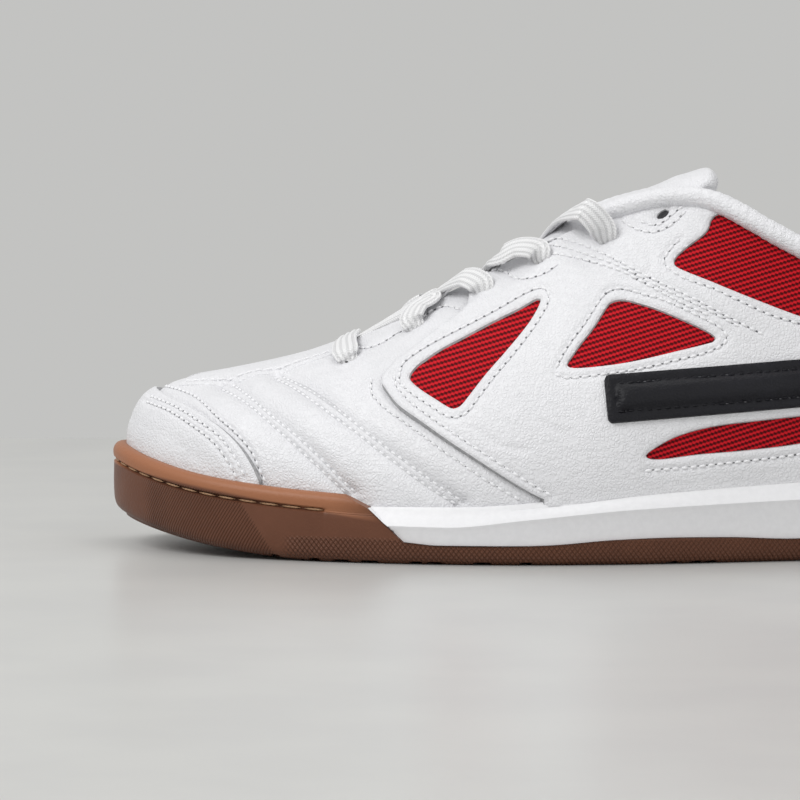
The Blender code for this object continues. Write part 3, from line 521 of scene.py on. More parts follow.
def named(name, points, faces, looks, uv=None, smooth=40, second=0):
    """Smooth mesh object from points and faces; the last faces, as many as second, take the second look."""
    mesh = bpy.data.meshes.new(name)
    mesh.from_pydata(points.tolist(), [], faces)
    mesh.shade_smooth()
    if smooth:
        mesh.set_sharp_from_angle(angle=math.radians(smooth))
    if uv is not None:
        layer = mesh.uv_layers.new(name="surface")
        corner = np.empty(len(mesh.loops), np.int32)
        mesh.loops.foreach_get("vertex_index", corner)
        layer.data.foreach_set("uv", np.asarray(uv, np.float32)[corner].ravel())
    made = bpy.data.objects.new(name, mesh)
    bpy.context.scene.collection.objects.link(made)
    for look in looks if isinstance(looks, tuple) else (looks,):
        mesh.materials.append(look)
    if second:
        index = np.zeros(len(faces), np.int32)
        index[-second:] = 1
        mesh.polygons.foreach_set("material_index", index)
    return made


def settled(made, slot, *nodes):
    """Rides the piece on the shoe and hides the CAD nodes that it stands for; the slot is not used."""
    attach(made, "root")
    if nodes:
        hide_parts(*nodes)
    return made


def grid_faces(rows, cols, wrap=False):
    """Quads of a grid of points in row order, wrapped round along the columns if asked."""
    at = np.arange(rows * cols).reshape(rows, cols)
    right = np.roll(at, -1, axis=1) if wrap else at[:, 1:]
    left = at if wrap else at[:, :-1]
    quads = np.stack([left[:-1], right[:-1], right[1:], left[1:]], -1)
    return quads.reshape(-1, 4)


def end_faces(rows, cols):
    """A face over each end of a tube of rings."""
    return [list(range(cols))[::-1], list(range((rows - 1) * cols, rows * cols))]


def raised(faces, base):
    """The faces with their point numbers raised by base."""
    return [[k + base for k in f] for f in faces]


def welded(faces):
    """The faces without repeated points, and without those left with fewer than three."""
    faces = [list(dict.fromkeys(f)) for f in faces]
    return [f for f in faces if len(f) > 2]


def facing(points, faces, outward_at):
    """The faces, turned round if most of them point against the given directions."""
    faces = [list(f) for f in faces]
    sample = faces[::max(1, len(faces) // 400)]
    total = 0.0
    for f in sample:
        n = np.cross(points[f[1]] - points[f[0]], points[f[2]] - points[f[0]])
        total += float(n @ outward_at[f[0]]) / (np.linalg.norm(n) + 1e-15)
    return faces if total >= 0 else [f[::-1] for f in faces]


def trimmed(ring, rise, distance):
    """Grid cut along the line where distance is zero: near points move onto it, faces beyond it go.

    The last two arrays are ring and rise a little way beyond the line, where the cut edge meets what
    lies under it.
    """
    i_step_ring, j_step_rise = ring[1, 0] - ring[0, 0], rise[0, 1] - rise[0, 0]
    away = distance(ring, rise)
    slope_i, slope_j = np.gradient(away)
    slope = np.hypot(slope_i, slope_j) + 1e-9
    near = np.abs(away) < 0.56 * slope
    for _ in range(2):
        share = np.where(near, -away / slope ** 2, 0)
        ring = ring + np.clip(share * slope_i, -0.7, 0.7) * i_step_ring
        rise = np.clip(rise + np.clip(share * slope_j, -0.7, 0.7) * j_step_rise, 0, 1)
        away[near] = distance(ring[near], rise[near])
    kept = (away > 0) | near
    rows, cols = ring.shape
    at = np.arange(rows * cols).reshape(rows, cols)
    quads = np.stack([at[:-1, :-1], at[1:, :-1], at[1:, 1:], at[:-1, 1:]], -1).reshape(-1, 4)
    count = kept.reshape(-1)[quads].sum(1)
    faces = quads[count == 4].tolist()
    flat_kept = kept.reshape(-1)
    faces += [[k for k in quad if flat_kept[k]] for quad in quads[count == 3].tolist()]
    beyond = np.where(near, CUT_WIDTH / slope ** 2, 0)
    out_ring = ring - np.clip(beyond * slope_i, -1, 1) * i_step_ring
    out_rise = np.clip(rise - np.clip(beyond * slope_j, -1, 1) * j_step_rise, 0, 1)
    return ring, rise, np.where(near, 0.0, away), faces, out_ring, out_rise


def skirted(points, faces, drop, foot):
    """The sheet with a wall from each border edge down to the drop points, and the number of cut faces.

    Walls between points marked as foot come first and don't count as cut.
    """
    ends = {}
    for f in faces:
        for a, b in zip(f, f[1:] + f[:1]):
            if (b, a) in ends:
                del ends[(b, a)]
            else:
                ends[(a, b)] = True
    border = sorted({k for pair in ends for k in pair})
    place = {k: len(points) + n for n, k in enumerate(border)}
    tucked = [[b, a, place[a], place[b]] for a, b in ends if foot[a] and foot[b]]
    cut = [[b, a, place[a], place[b]] for a, b in ends if not (foot[a] and foot[b])]
    return np.concatenate([points, drop[border]]), faces + tucked + cut, len(cut)


def used_only(points, faces, *others):
    """Points and faces without the points that no face uses."""
    used = np.unique(np.concatenate([np.asarray(f) for f in faces]))
    place = np.full(len(points), -1)
    place[used] = np.arange(len(used))
    return points[used], [[int(place[k]) for k in f] for f in faces], *[o[used] for o in others]


def cut_panel(name, looks, spans, counts, ring_of, distance, lift, base=-0.0003):
    """Leather panel over a grid of turns and rises: the upper's face within an outline, raised by lift.

    spans are the first and last turn and rise, and counts the steps between them. ring_of gives the
    ring parameter of a turn, distance the millimetres within the outline, and lift turns that distance
    and the pixel places of the outer side into a height. The cut edge slants out down to the base, and
    the foot runs straight down behind the sole's rim.
    """
    turns, rises = [np.linspace(*span, fine(count)) for span, count in zip(spans, counts)]
    turn, rise = np.meshgrid(turns, rises, indexing="ij")
    turn, rise, away, faces, out_turn, out_rise = trimmed(turn, rise, distance)
    ring = ring_of(turn)
    out = normal(ring, rise)
    raising = out * lift(away, seen_at(ring, rise))[..., None]
    points = (surface(ring, rise) + raising).reshape(-1, 3)
    drop = (surface(ring_of(out_turn), out_rise) + out * base).reshape(-1, 3)
    foot = (rise < FOOT_RISE).reshape(-1)
    drop[foot] = points[foot] - [0, 0, FOOT_TUCK]
    faces = facing(points, faces, out.reshape(-1, 3))
    points, faces, drop, foot = used_only(points, faces, drop, foot)
    points, faces, walls = skirted(points, faces, drop, foot)
    return named(name, points, faces, looks, smooth=60, second=walls)


def panel(name, looks, side, spans, counts, distance, lift, base=-0.0003):
    """Cut panel on one side of the shoe."""
    return cut_panel(name, looks, spans, counts, lambda turn: side * turn, distance, lift, base)


ALL_ROWS = [smoothed(row) for row in (*CAP_ROWS, *VAMP_ROWS, *QUARTER_ROWS, *WINDOW_ROWS, *SEAM_ROWS,
                                      *EYELET_ROWS, *HEEL_ROWS)]
QUILTS = [smoothed(row) for row in QUILT_ROWS]
SOFT_CREASES = [smoothed(row) for row in CREASES]
EDGE_LINE = smoothed(QUARTER_EDGE)
CAP_LINE = smoothed(CAP_EDGE)


def even(lift):
    """Lift of a flat sheet."""
    return lambda away, seen: np.full(away.shape, lift)


def trough(seen, rows, depth, width):
    """Soft trough of a given depth along rows, its half width in pixels."""
    total = np.zeros(seen.shape[:-1])
    for row in rows:
        total = np.maximum(total, bell(line_distance(seen, row), width))
    return -depth * total


def quilting(seen):
    """Puffed vamp: a wide trough at each pair of quilt seams, with a narrow groove at each seam."""
    nearest = np.full(seen.shape[:-1], REACH)
    for row in QUILTS:
        nearest = np.minimum(nearest, line_distance(seen, row))
    return -0.0018 * bell(nearest, 8.0, 1.3) - 0.0003 * bell(nearest, 2.0)


def vamp_relief(seen):
    """Height of the vamp's face over the plain surface: quilted, creased, sunk at seams and panels."""
    under = np.maximum(within_mm(seen, QUARTER_LOOP), within_mm(seen, CAP_LOOP))
    relief = quilting(seen) + trough(seen, ALL_ROWS, *SEAM_TROUGH) + trough(seen, SOFT_CREASES, 0.0002, 4.5)
    relief += trough(seen, [EDGE_LINE, CAP_LINE], 0.0006, 5.0)
    return relief * np.clip(1 - under, 0, 1) - 0.0007 * ramp(under, 0, 1.5)


def leather_lift(away, seen):
    """Height of a panel: rounded off at the cut edge, puffed further in, sunk at stitches and creases."""
    edge_round = 1 - (1 - ramp(away, 0, 0.6)) ** 2 * 0.35
    puff = 0.0004 * (1 - np.exp(-np.clip(away, 0, None) / 2.5))
    sunk = trough(seen, ALL_ROWS, *SEAM_TROUGH) + trough(seen, SOFT_CREASES, 0.0003, 3.0)
    return LEATHER_THICKNESS * edge_round + puff + sunk


def quarter_lift(away, seen):
    """Panel height with a folded, thicker front edge."""
    return leather_lift(away, seen) + 0.0005 * bell(line_distance(seen, EDGE_LINE), 7.0)


def cap_lift(away, seen):
    """Panel height that is full at the stitched edge and thins towards the front of the toe."""
    return leather_lift(away, seen) - 0.0009 * ramp(away, 3.0, 6.0)


def heel_lift(away, seen):
    """Panel height of the heel counter, which lies over the side panels."""
    return leather_lift(away, seen) + 0.0009


def window_loop(corners):
    """Rounded closed outline through the corners of a mesh window."""
    return smoothed(corners, closed=True, steps=5)


WINDOWS = {"front": window_loop(FRONT_WINDOW), "middle": window_loop(MIDDLE_WINDOW),
           "rear": window_loop(REAR_WINDOW), "collar": window_loop(COLLAR_WINDOW)}
CAP_LOOP = np.concatenate([CAP_LINE, [(60, 530), (60, 340)]])
QUARTER_LOOP = np.concatenate([[(474, 200)], EDGE_LINE,
                               [(560, 560), (1500, 560), (1500, 120), (474, 120)]])
HEEL_LOOP = np.concatenate([smoothed(HEEL_EDGE), [(1500, 300), (1500, 540)]])


def eyelet_loop(centre, size=1.0):
    """Small slanted oval at an eyelet, in pixels."""
    turn = np.linspace(0, 2 * math.pi, 16, endpoint=False)
    tilt = math.radians(-35)
    a, b = 7.5 * size * np.cos(turn), 3.6 * size * np.sin(turn)
    return np.stack([centre[0] + a * math.cos(tilt) - b * math.sin(tilt),
                     centre[1] + a * math.sin(tilt) + b * math.cos(tilt)], -1)


def quarter_distance(ring, rise):
    """Millimetres within the quarter's outline and outside its windows and eyelets."""
    seen = seen_at(ring, rise)
    within = inside_distance(seen, QUARTER_LOOP)
    within = np.minimum(within, -inside_distance(seen, HEEL_LOOP) + HEEL_OVERLAP)
    for loop in [*WINDOWS.values(), *map(eyelet_loop, EYELETS[3:])]:
        within = np.minimum(within, -inside_distance(seen, loop))
    return within / PIXELS_A_MM


def make_quarters():
    """Side panels of white leather, one a side, with the mesh windows and eyelets left open."""
    for name, side in (("quarter_lateral", 1), ("quarter_medial", -1)):
        made = panel(name, CUT_LEATHER, side, ((0.30, 0.90), (0.0, 1.0)), (400, 150), quarter_distance,
                     quarter_lift)
        settled(made, "white_leather", name)


def make_mesh():
    """Red mesh behind each window, tucked under the leather round it."""
    for side_name, side in (("lateral", 1), ("medial", -1)):
        for title, loop in WINDOWS.items():
            ring, rise = locate(np.clip(loop, (0, 212), (1400, 600)))
            lowest, highest = max(rise.min() - 0.06, 0), min(rise.max() + 0.08, 1)
            spans = ((ring.min() - 0.02, ring.max() + 0.02), (lowest, highest))

            def distance(r, v, loop=loop):
                return within_mm(seen_at(r, v), loop) + MESH_TUCK

            made = panel(f"mesh_{title}_{side_name}", (MESH, MESH), side, spans, (60, 40), distance,
                         even(0.0002), -0.0004)
            settled(made, "red_mesh")


def make_cap():
    """Toe cap: leather over both sides of the toe behind a raised, stitched edge."""
    def distance(ring, rise):
        return within_mm(seen_at(ring, rise), CAP_LOOP)

    made = cut_panel("toe_cap", CUT_LEATHER, ((-0.30, 0.30), (0, 0.94)), (300, 130), lambda ring: ring,
                     distance, cap_lift, -0.0006)
    settled(made, "white_leather", "toe_cap")


def make_heel_counter():
    """Heel counter round the back, from one side's edge to the other's: its turns run on past the heel."""
    def distance(turn, rise):
        return within_mm(seen_at(np.where(turn > 1, 2 - turn, turn), rise), HEEL_LOOP)

    made = cut_panel("heel_counter", CUT_LEATHER, ((0.74, 1.26), (0, 0.97)), (220, 100),
                     lambda turn: np.where(turn > 1, turn - 2, turn), distance, heel_lift)
    settled(made, "white_leather", "heel_counter")


def strip_rise(ways):
    """Rise of the centre strip's edge at each way, on either side."""
    ring, rise = locate(smoothed(STRIP_EDGE))
    return np.clip(np.polyval(np.polyfit(ring, rise, 2), ways), 0.70, 0.985)


def strip_relief(across):
    """Height of the centre strip over its width: rounded edges, stitch troughs near them, low crown."""
    s = np.abs(across)
    crown = 0.0004 * (1 - s ** 2)
    margin = 0.0004 * ramp(s, 0.9, 0.1) ** 2
    return 0.0005 - margin + crown - 0.0003 * bell(s - STRIP_SEAM, 0.05)


def make_strip():
    """Raised strip of leather along the vamp's ridge, from the toe cap to the throat."""
    across = np.linspace(-1, 1, fine(80) + 1)[None]
    ways = np.linspace(0.095, THROAT_START - 0.004, fine(220))
    low = strip_rise(ways)
    rise = 1 - (1 - low[:, None]) * np.abs(across)
    ring = np.where(across < 0, -ways[:, None], ways[:, None])
    out = normal(ring, rise)
    beneath = vamp_relief(seen_at(ring, rise)) * across ** 2
    grid = surface(ring, rise) + out * (strip_relief(across) + beneath)[..., None]
    points = grid.reshape(-1, 3)
    drop = (surface(ring, rise - 0.006 * (np.abs(across) > 0.999)) - out * 0.0026).reshape(-1, 3)
    faces = facing(points, grid_faces(*grid.shape[:2]).tolist(), out.reshape(-1, 3))
    points, faces, _ = skirted(points, faces, drop, np.full(len(points), True))
    settled(named("centre_strip", points, faces, LEATHER, smooth=60), "white_leather")


def band_loop():
    """Outline of the side band in pixels: a straight strip of one width with a square front end."""
    x0, y0 = BAND_FRONT
    end = y0 + BAND_SLOPE * (BAND_END - x0)
    corners = np.array([(x0 + BAND_SLOPE * BAND_HALF, y0 - BAND_HALF), (BAND_END, end - BAND_HALF),
                        (BAND_END, end + BAND_HALF), (x0 - BAND_SLOPE * BAND_HALF, y0 + BAND_HALF)])
    points = []
    for k, here in enumerate(corners):
        first, last = [here + unit(other - here) * 5 for other in (corners[k - 1], corners[(k + 1) % 4])]
        for w in np.linspace(0, 1, 5):
            points.append(first * (1 - w) ** 2 + 2 * here * w * (1 - w) + last * w ** 2)
    return np.array(points)


BAND = band_loop()
BAND_ROWS = [[(x, BAND_FRONT[1] + BAND_SLOPE * (x - BAND_FRONT[0]) + off)
              for x in range(BAND_FRONT[0] + 10, BAND_END - 9, 60)]
             for off in (BAND_MARGIN - BAND_HALF, BAND_HALF - BAND_MARGIN)]


def band_distance(ring, rise):
    """Millimetres within the side band's outline."""
    return within_mm(seen_at(ring, rise), BAND)


def band_lift(away, seen):
    """Padded band: a flat stitched margin round a full, softly rounded middle."""
    inner = np.clip(away, 0, None)
    pad = 0.0015 * (1 - np.exp(-np.clip(inner - BAND_SEAM, 0, None) / 1.3))
    seam = -0.0004 * bell(inner - BAND_SEAM, 0.5)
    return 0.0024 + 0.0003 * (1 - np.exp(-inner / 0.4)) + pad + seam


def make_bands():
    """Padded dark band on each side."""
    for name, side in (("band_lateral", 1), ("band_medial", -1)):
        made = panel(name, (BLACK, BLACK), side, ((0.40, 0.84), (0.1, 0.98)), (300, 90), band_distance,
                     band_lift)
        settled(made, "black_leather", name)


def ring_samples(front, back, border=0.46):
    """Ring parameters from the heel by the inner side, toe and outer side, denser in front of a border."""
    half = np.concatenate([np.linspace(0, border, front), np.linspace(border, 1, back + 1)[1:]])
    return np.concatenate([-half[::-1], half[1:-1]])


def shell_faces(rows, count, ring, top_row):
    """Point numbers of a ring grid whose top row is zipped along the ridge in front of the throat."""
    index = np.arange(rows * count).reshape(rows, count)
    zipped = opening(ring) < 1e-6
    twin = (count - np.arange(count)) % count
    merge = zipped & (np.abs(ring) < 0.5) & (ring > 0)
    index[top_row, merge] = index[top_row, twin[merge]]
    return index, merge, twin


def zip_ridge(row, merge, twin):
    """Brings the two sides of a row together along the ridge."""
    row[merge] = row[twin[merge]] = (row[merge] + row[twin[merge]]) / 2


def ring_quads(low, high):
    """Quads between two closed rings of point numbers."""
    return np.stack([low, np.roll(low, -1), np.roll(high, -1), high], -1)


def make_vamp():
    """White leather body of the upper: quilted outer face, its edges turned in at throat and collar."""
    ring = ring_samples(fine(290), fine(90))
    count, steps = len(ring), fine(112)
    grid_ring, grid_rise = np.meshgrid(ring, np.linspace(0, 1, steps))
    out = normal(grid_ring, grid_rise)
    body = surface(grid_ring, grid_rise) + out * vamp_relief(seen_at(grid_ring, grid_rise))[..., None]
    index, merge, twin = shell_faces(steps + 3, count, ring, steps)
    zip_ridge(body[-1], merge, twin)
    skirt = edge(ring, RIM_WIDTH + CLEARANCE, height(FOOTBED, outline(ring)[0]) + CLEARANCE)
    turned = [surface(ring, np.full(count, 1.0)) - out[-1] * depth for depth in (0.0007, 0.0016)]
    grid = np.concatenate([skirt[None], body, np.stack(turned)])
    index[-2:, merge] = index[-2:][:, twin[merge]]
    free = (opening(ring) > 1e-6) | (np.abs(ring) > 0.9)
    faces = []
    for row in range(grid.shape[0] - 1):
        quads = ring_quads(index[row], index[row + 1])
        faces += (quads if row < steps else quads[free | np.roll(free, -1)]).tolist()
    points = grid.reshape(-1, 3)
    outs = np.concatenate([out[:1], out, out[-1:], out[-1:]]).reshape(-1, 3)
    points, faces = used_only(points, facing(points, welded(faces), outs))
    settled(named("vamp", points, faces, LEATHER, smooth=60), "white_leather", "upper")


def make_lining():
    """Soft lining inside the upper, swelling into a pad under the collar."""
    ring = ring_samples(fine(100), fine(100))
    count, steps = len(ring), fine(44)
    grid_ring, grid_rise = np.meshgrid(ring, np.linspace(0, 1, steps))
    out = normal(grid_ring, grid_rise)
    collar = ramp(np.abs(grid_ring), 0.50, 0.08) * ramp(grid_rise, 0.45, 0.25)
    pad = 0.0042 * collar * np.sin(math.pi * np.clip(grid_rise, 0.45, 1) ** 3) ** 0.5
    inner = surface(grid_ring, grid_rise) - out * (WALL - 0.0002 + pad)[..., None]
    index, merge, twin = shell_faces(steps, count, ring, steps - 1)
    zip_ridge(inner[-1], merge, twin)
    bed = height(FOOTBED, outline(ring)[0]) + CLEARANCE
    skirt = edge(ring, RIM_WIDTH + CLEARANCE + WALL - 0.0002, bed)
    index = np.concatenate([np.arange(count)[None], index + count])
    faces = []
    for low, high in zip(index[:-1], index[1:]):
        faces += ring_quads(low, high).tolist()
    points = np.concatenate([skirt[None], inner]).reshape(-1, 3)
    outs = -np.concatenate([out[:1], out]).reshape(-1, 3)
    points, faces = used_only(points, welded(facing(points, faces, outs)))
    settled(named("lining", points, faces, LINING), "grey_lining")


def carried(path, looking, across, tall):
    """Grid of a section carried along a path, across it and tall the way that it looks."""
    run = unit(np.gradient(path, axis=0))
    side = unit(np.cross(looking, run))
    up = np.cross(run, side)
    return path[:, None] + side[:, None] * across[..., None] + up[:, None] * tall[..., None]


def make_roll():
    """Padded binding on the edge of the collar: an oval carried along the top line, softly uneven."""
    half = np.linspace(0.487, 1.0, fine(520))
    path = top_line(np.concatenate([half, -half[-2::-1]]))
    path[:, 2] += ROLL_HEIGHT / 2 - 0.0006
    length = lengths(path)
    ends = np.minimum(length, length[-1] - length)
    round_end = np.sqrt(np.clip(1 - (1 - ramp(ends, 0, 0.003)) ** 2, 0.0005, 1))
    turn = np.linspace(0, 2 * math.pi, 28, endpoint=False)
    drawn = np.sin(2 * math.pi * length[:, None] / 0.0026 + 2 * turn[None, :])
    uneven = np.sin(length / 0.0063)[:, None] * np.sin(length / 0.0017 + 1)[:, None]
    swell = round_end[:, None] * (1 + 0.022 * drawn + 0.02 * uneven)
    across = -np.cos(turn)[None, :] * ROLL_WIDTH / 2 * swell
    tall = np.sin(turn)[None, :] * ROLL_HEIGHT / 2 * swell
    grid = carried(path, [0, 0, 1.0], across, tall)
    points = grid.reshape(-1, 3)
    faces = grid_faces(*grid.shape[:2], wrap=True).tolist() + end_faces(*grid.shape[:2])
    faces = facing(points, faces, (grid - path[:, None]).reshape(-1, 3))
    made = settled(named("collar_roll", points, faces, LEATHER, smooth=0), "white_leather", "collar_roll")


def tongue_line(way, count):
    """Points of the tongue's section at a way, from under one eyestay across the throat to the other."""
    rises = np.linspace(0.76 - 0.25 * max(0.0, 0.36 - way), 1, 12)
    outer, inner = surface(way, rises), surface(-way, rises)
    start, end = outer[-1], inner[-1]
    span = np.linalg.norm(end - start)
    first, last = unit(outer[-1] - outer[-2]), unit(inner[-2] - inner[-1])
    s = np.linspace(0, 1, 15)[1:-1, None]
    bridge = (start * (1 + 2 * s) * (1 - s) ** 2 + first * span * s * (1 - s) ** 2
              + end * s ** 2 * (3 - 2 * s) - last * span * s ** 2 * (1 - s))
    line = np.concatenate([outer, bridge, inner[::-1]])
    # A hair more at each step, because points fall together where the throat is closed
    length = lengths(line) + 1e-9 * np.arange(len(line))
    at = np.linspace(0, length[-1], count)
    return np.stack([np.interp(at, length, line[:, k]) for k in range(3)], -1)


def make_tongue():
    """Padded tongue: a closed pillow round the tongue's sheet, thin at its sides, thick at its lip."""
    count, straight = 61, 70
    across = np.linspace(-1, 1, count)
    rows = [tongue_line(way, count) for way in np.linspace(0.295, 0.505, straight)]
    for angle, step, draw in TONGUE_LIP:
        before = rows[-1]
        move = np.array([math.cos(math.radians(angle)), 0, math.sin(math.radians(angle))]) * step
        for share in np.linspace(0, 1, 9)[1:]:
            narrowed = [np.interp(across * (1 - draw * share), across, before[:, k]) for k in range(3)]
            rows.append(np.stack(narrowed, -1) + move * share * (1 - LIP_ROUNDING * across[:, None] ** 4))
    bend = straight - 10
    for _ in range(6):
        threes = zip(rows[bend - 1:-2], rows[bend:-1], rows[bend + 1:])
        rows[bend:-1] = [(a + 2 * b + c) / 4 for a, b, c in threes]
    sheet = np.stack(rows)
    t = np.linspace(0, 1, len(rows))[:, None]
    arc = TONGUE_ARC * bell(t - 0.63, 0.10) - TONGUE_DIP * ramp(t, 0.76, 0.10)
    sheet[..., 2] += arc * (1 - across ** 2)
    up = unit(np.cross(np.gradient(sheet, axis=0), np.gradient(sheet, axis=1)))
    up *= np.sign(up[..., 2:].mean())
    rounding = (1 - np.abs(across)[None, :] ** 10) ** 0.5 * (1 - ramp(t, 0.94, 0.06) ** 2) ** 0.5
    thick = (0.0030 + 0.0022 * ramp(t, 0.68, 0.15)) * rounding
    middle_sheet = sheet - up * (WALL + 0.0022 - 0.0008 * ramp(t, 0.75, 0.25))[..., None]
    halves = [middle_sheet + up * (side * thick / 2)[..., None] for side in (1, -1)]
    size = len(rows) * count
    faces = grid_faces(len(rows), count).tolist()
    faces += raised([f[::-1] for f in faces], size)
    points = np.concatenate(halves).reshape(-1, 3)
    at = np.arange(size).reshape(len(rows), count)
    border = [*at[:, 0], *at[-1, 1:], *at[-2::-1, -1], *at[0, -2:0:-1]]
    walls = [[int(b), int(a), int(a + size), int(b + size)]
             for a, b in zip(border, border[1:] + border[:1])]
    faces = facing(points, faces, np.concatenate([up, -up]).reshape(-1, 3))
    made = named("tongue", points, faces + walls, LEATHER, smooth=0)
    form = bmesh.new()
    form.from_mesh(made.data)
    bmesh.ops.recalc_face_normals(form, faces=form.faces)
    form.to_mesh(made.data)
    form.free()
    settled(made, "white_leather", "tongue")


def ribbon(name, paths):
    """Flat woven laces: a ribbed strip carried along each path, narrow where it dives into an eyelet.

    Each path comes with the direction its face looks to and its share of the full width at every point.
    """
    points, faces, uv = [], [], []
    turn = np.linspace(0, 2 * math.pi, 48, endpoint=False)
    shape_a = np.sign(np.cos(turn)) * np.abs(np.cos(turn)) ** 0.62
    shape_b = np.sign(np.sin(turn)) * np.abs(np.sin(turn)) ** 0.75
    shape_b = shape_b * (0.80 + 0.20 * np.cos(shape_a * LACE_RIBS * math.pi))
    base = 0
    for path, looking, width in paths:
        wide = (width * LACE_WIDTH / 2)[:, None] * shape_a[None, :]
        thick = (LACE_THICKNESS / 2 * (1.5 - 0.5 * width))[:, None] * shape_b[None, :]
        grid = carried(path, looking, wide, thick)
        rows, cols = grid.shape[:2]
        points.append(grid.reshape(-1, 3))
        uv.append(np.stack([np.repeat(lengths(path), cols), np.tile(shape_a * LACE_WIDTH / 2, rows)], -1))
        block = facing(points[-1], grid_faces(rows, cols, wrap=True).tolist(),
                       (grid - path[:, None]).reshape(-1, 3))
        faces += raised(block + end_faces(rows, cols), base)
        base += rows * cols
    return named(name, np.concatenate(points), faces, LACE, uv=np.concatenate(uv), smooth=0)


def crossing(start, end, side, arch, slip):
    """One lace crossing: out from under an eyestay, over the tongue and the other one into an eyelet.

    start and end are the ring and rise of the two eyelets on the outer side, side tells on which side
    it ends, arch is how far it stands off the eyestay, and slip how much further back than the eyelet
    it turns over the edge, as a share of the way round.
    """
    first, last = -side * start[0], side * end[0]
    top, half = last + side * slip, last + side * slip * 0.45
    middle_rise = (1 + end[1]) / 2
    spots = ((first, min(start[1] + 0.04, 0.98), -0.0036), (first, 0.999, -0.0024),
             (top, 0.999, 0.0016 + arch), (half, middle_rise + 0.012, 0.0026 + arch),
             (last, end[1] + 0.016, 0.0022 + arch * 0.45), (last, end[1] - 0.004, 0.0002),
             (last, end[1] - 0.010, -0.0018))
    placed = [surface(r, v) + normal(r, v) * lift for r, v, lift in spots]
    looking = [normal(r, min(v, 0.97)) for r, v, lift in spots]
    placed.insert(2, (placed[1] + placed[2]) / 2 + np.array([0, 0, 0.0006 + arch * 0.4]))
    looking.insert(2, np.array([-0.5, 0, 0.866]))
    path = smoothed(np.array(placed), steps=14)
    faced = smoothed(np.array(looking), steps=14)
    left = lengths(path[::-1])[::-1]
    width = 0.62 + 0.38 * ramp(left, 0.0012, 0.0040) ** 0.8
    width *= 0.86 + 0.14 * ramp(np.abs(left - left[0] / 2), 0, left[0] / 3)
    return path, faced, width


def make_laces():
    """Lace crossings through the eyelets, the bar at the toe first, the upper pairs the loosest."""
    eyelets = list(zip(*locate(EYELETS[:LACED])))
    way_a_pixel = (eyelets[-1][0] - eyelets[0][0]) / (EYELETS[LACED - 1][0] - EYELETS[0][0])
    slips = [slip * way_a_pixel for slip in LACE_SLIPS]
    paths = [crossing(eyelets[0], eyelets[0], 1, LACE_ARCHES[0], slips[0])]
    for k in range(1, LACED):
        for side, arch in ((-1, min(LACE_ARCHES[k], LOW_ARCH)), (1, LACE_ARCHES[k])):
            paths.append(crossing(eyelets[k - 1], eyelets[k], side, arch, slips[k]))
    settled(ribbon("laces", paths), "white_lace", "laces")


def make_eyelets():
    """Sheet under each punched eyelet, painted near black as the shade seen through the hole in the
    leather.
    """
    def distance(ring, rise):
        seen = seen_at(ring, rise)
        front = [within_mm(seen, eyelet_loop(centre, 0.5)) for centre in EYELETS[:3]]
        back = [within_mm(seen, eyelet_loop(centre)) + 0.25 for centre in EYELETS[3:]]
        return np.maximum.reduce(front + back)

    for name, side in (("eyelets_lateral", 1), ("eyelets_medial", -1)):
        made = panel(name, (EYELET_SHADE, EYELET_SHADE), side, ((0.30, 0.60), (0.72, 1.0)), (420, 150), distance,
                     even(0.0003))
        settled(made, "grey_lining")


def stitch_shape():
    """One stitch lying along x: a short thread that dips at both ends, one unit long and wide."""
    turns = np.linspace(0, 2 * math.pi, 6, endpoint=False)
    on, turn = np.meshgrid(np.linspace(-1, 1, 5), turns, indexing="ij")
    thick = np.sqrt(np.clip(1 - on ** 4, 0.05, 1)) * 0.5
    shape = np.stack([on * 0.5, np.cos(turn) * thick, np.sin(turn) * thick - on ** 2 * 0.25], -1)
    return shape.reshape(-1, 3), grid_faces(5, 6, wrap=True).tolist() + end_faces(5, 6)


def row_places(row, pitch):
    """Ring and rise of evenly spaced places along a row of pixels."""
    ring, rise = locate(smoothed(row, steps=4))
    length = lengths(surface(ring, rise))
    at = np.arange(pitch / 2, length[-1], pitch)
    return np.interp(at, length, ring), np.interp(at, length, rise)


def spaced(line, start, pitch, left=0.0):
    """Evenly spaced places on a line from a start until so much is left, and where they lie in its list."""
    length, index = lengths(line), np.arange(len(line))
    at = np.interp(np.arange(start, length[-1] - left, pitch), length, index)
    return np.stack([np.interp(at, index, line[:, k]) for k in range(3)], -1), at.astype(int)


def copied(shape, shape_faces, place, run, across, up, size):
    """Copies of a small shape at places, its axes along run, across and up, as points and faces."""
    scaled = shape * size
    points = (place[:, None] + run[:, None] * scaled[None, :, :1] + across[:, None] * scaled[None, :, 1:2]
              + up[:, None] * scaled[None, :, 2:]).reshape(-1, 3)
    return points, [f for b in range(len(place)) for f in raised(shape_faces, b * len(shape))]


def joined(name, parts, look, slot):
    """One piece from lists of points and faces."""
    points, faces, base = [], [], 0
    for part_points, part_faces in parts:
        points.append(part_points)
        faces += raised(part_faces, base)
        base += len(part_points)
    return settled(named(name, np.concatenate(points), faces, look, smooth=0), slot)


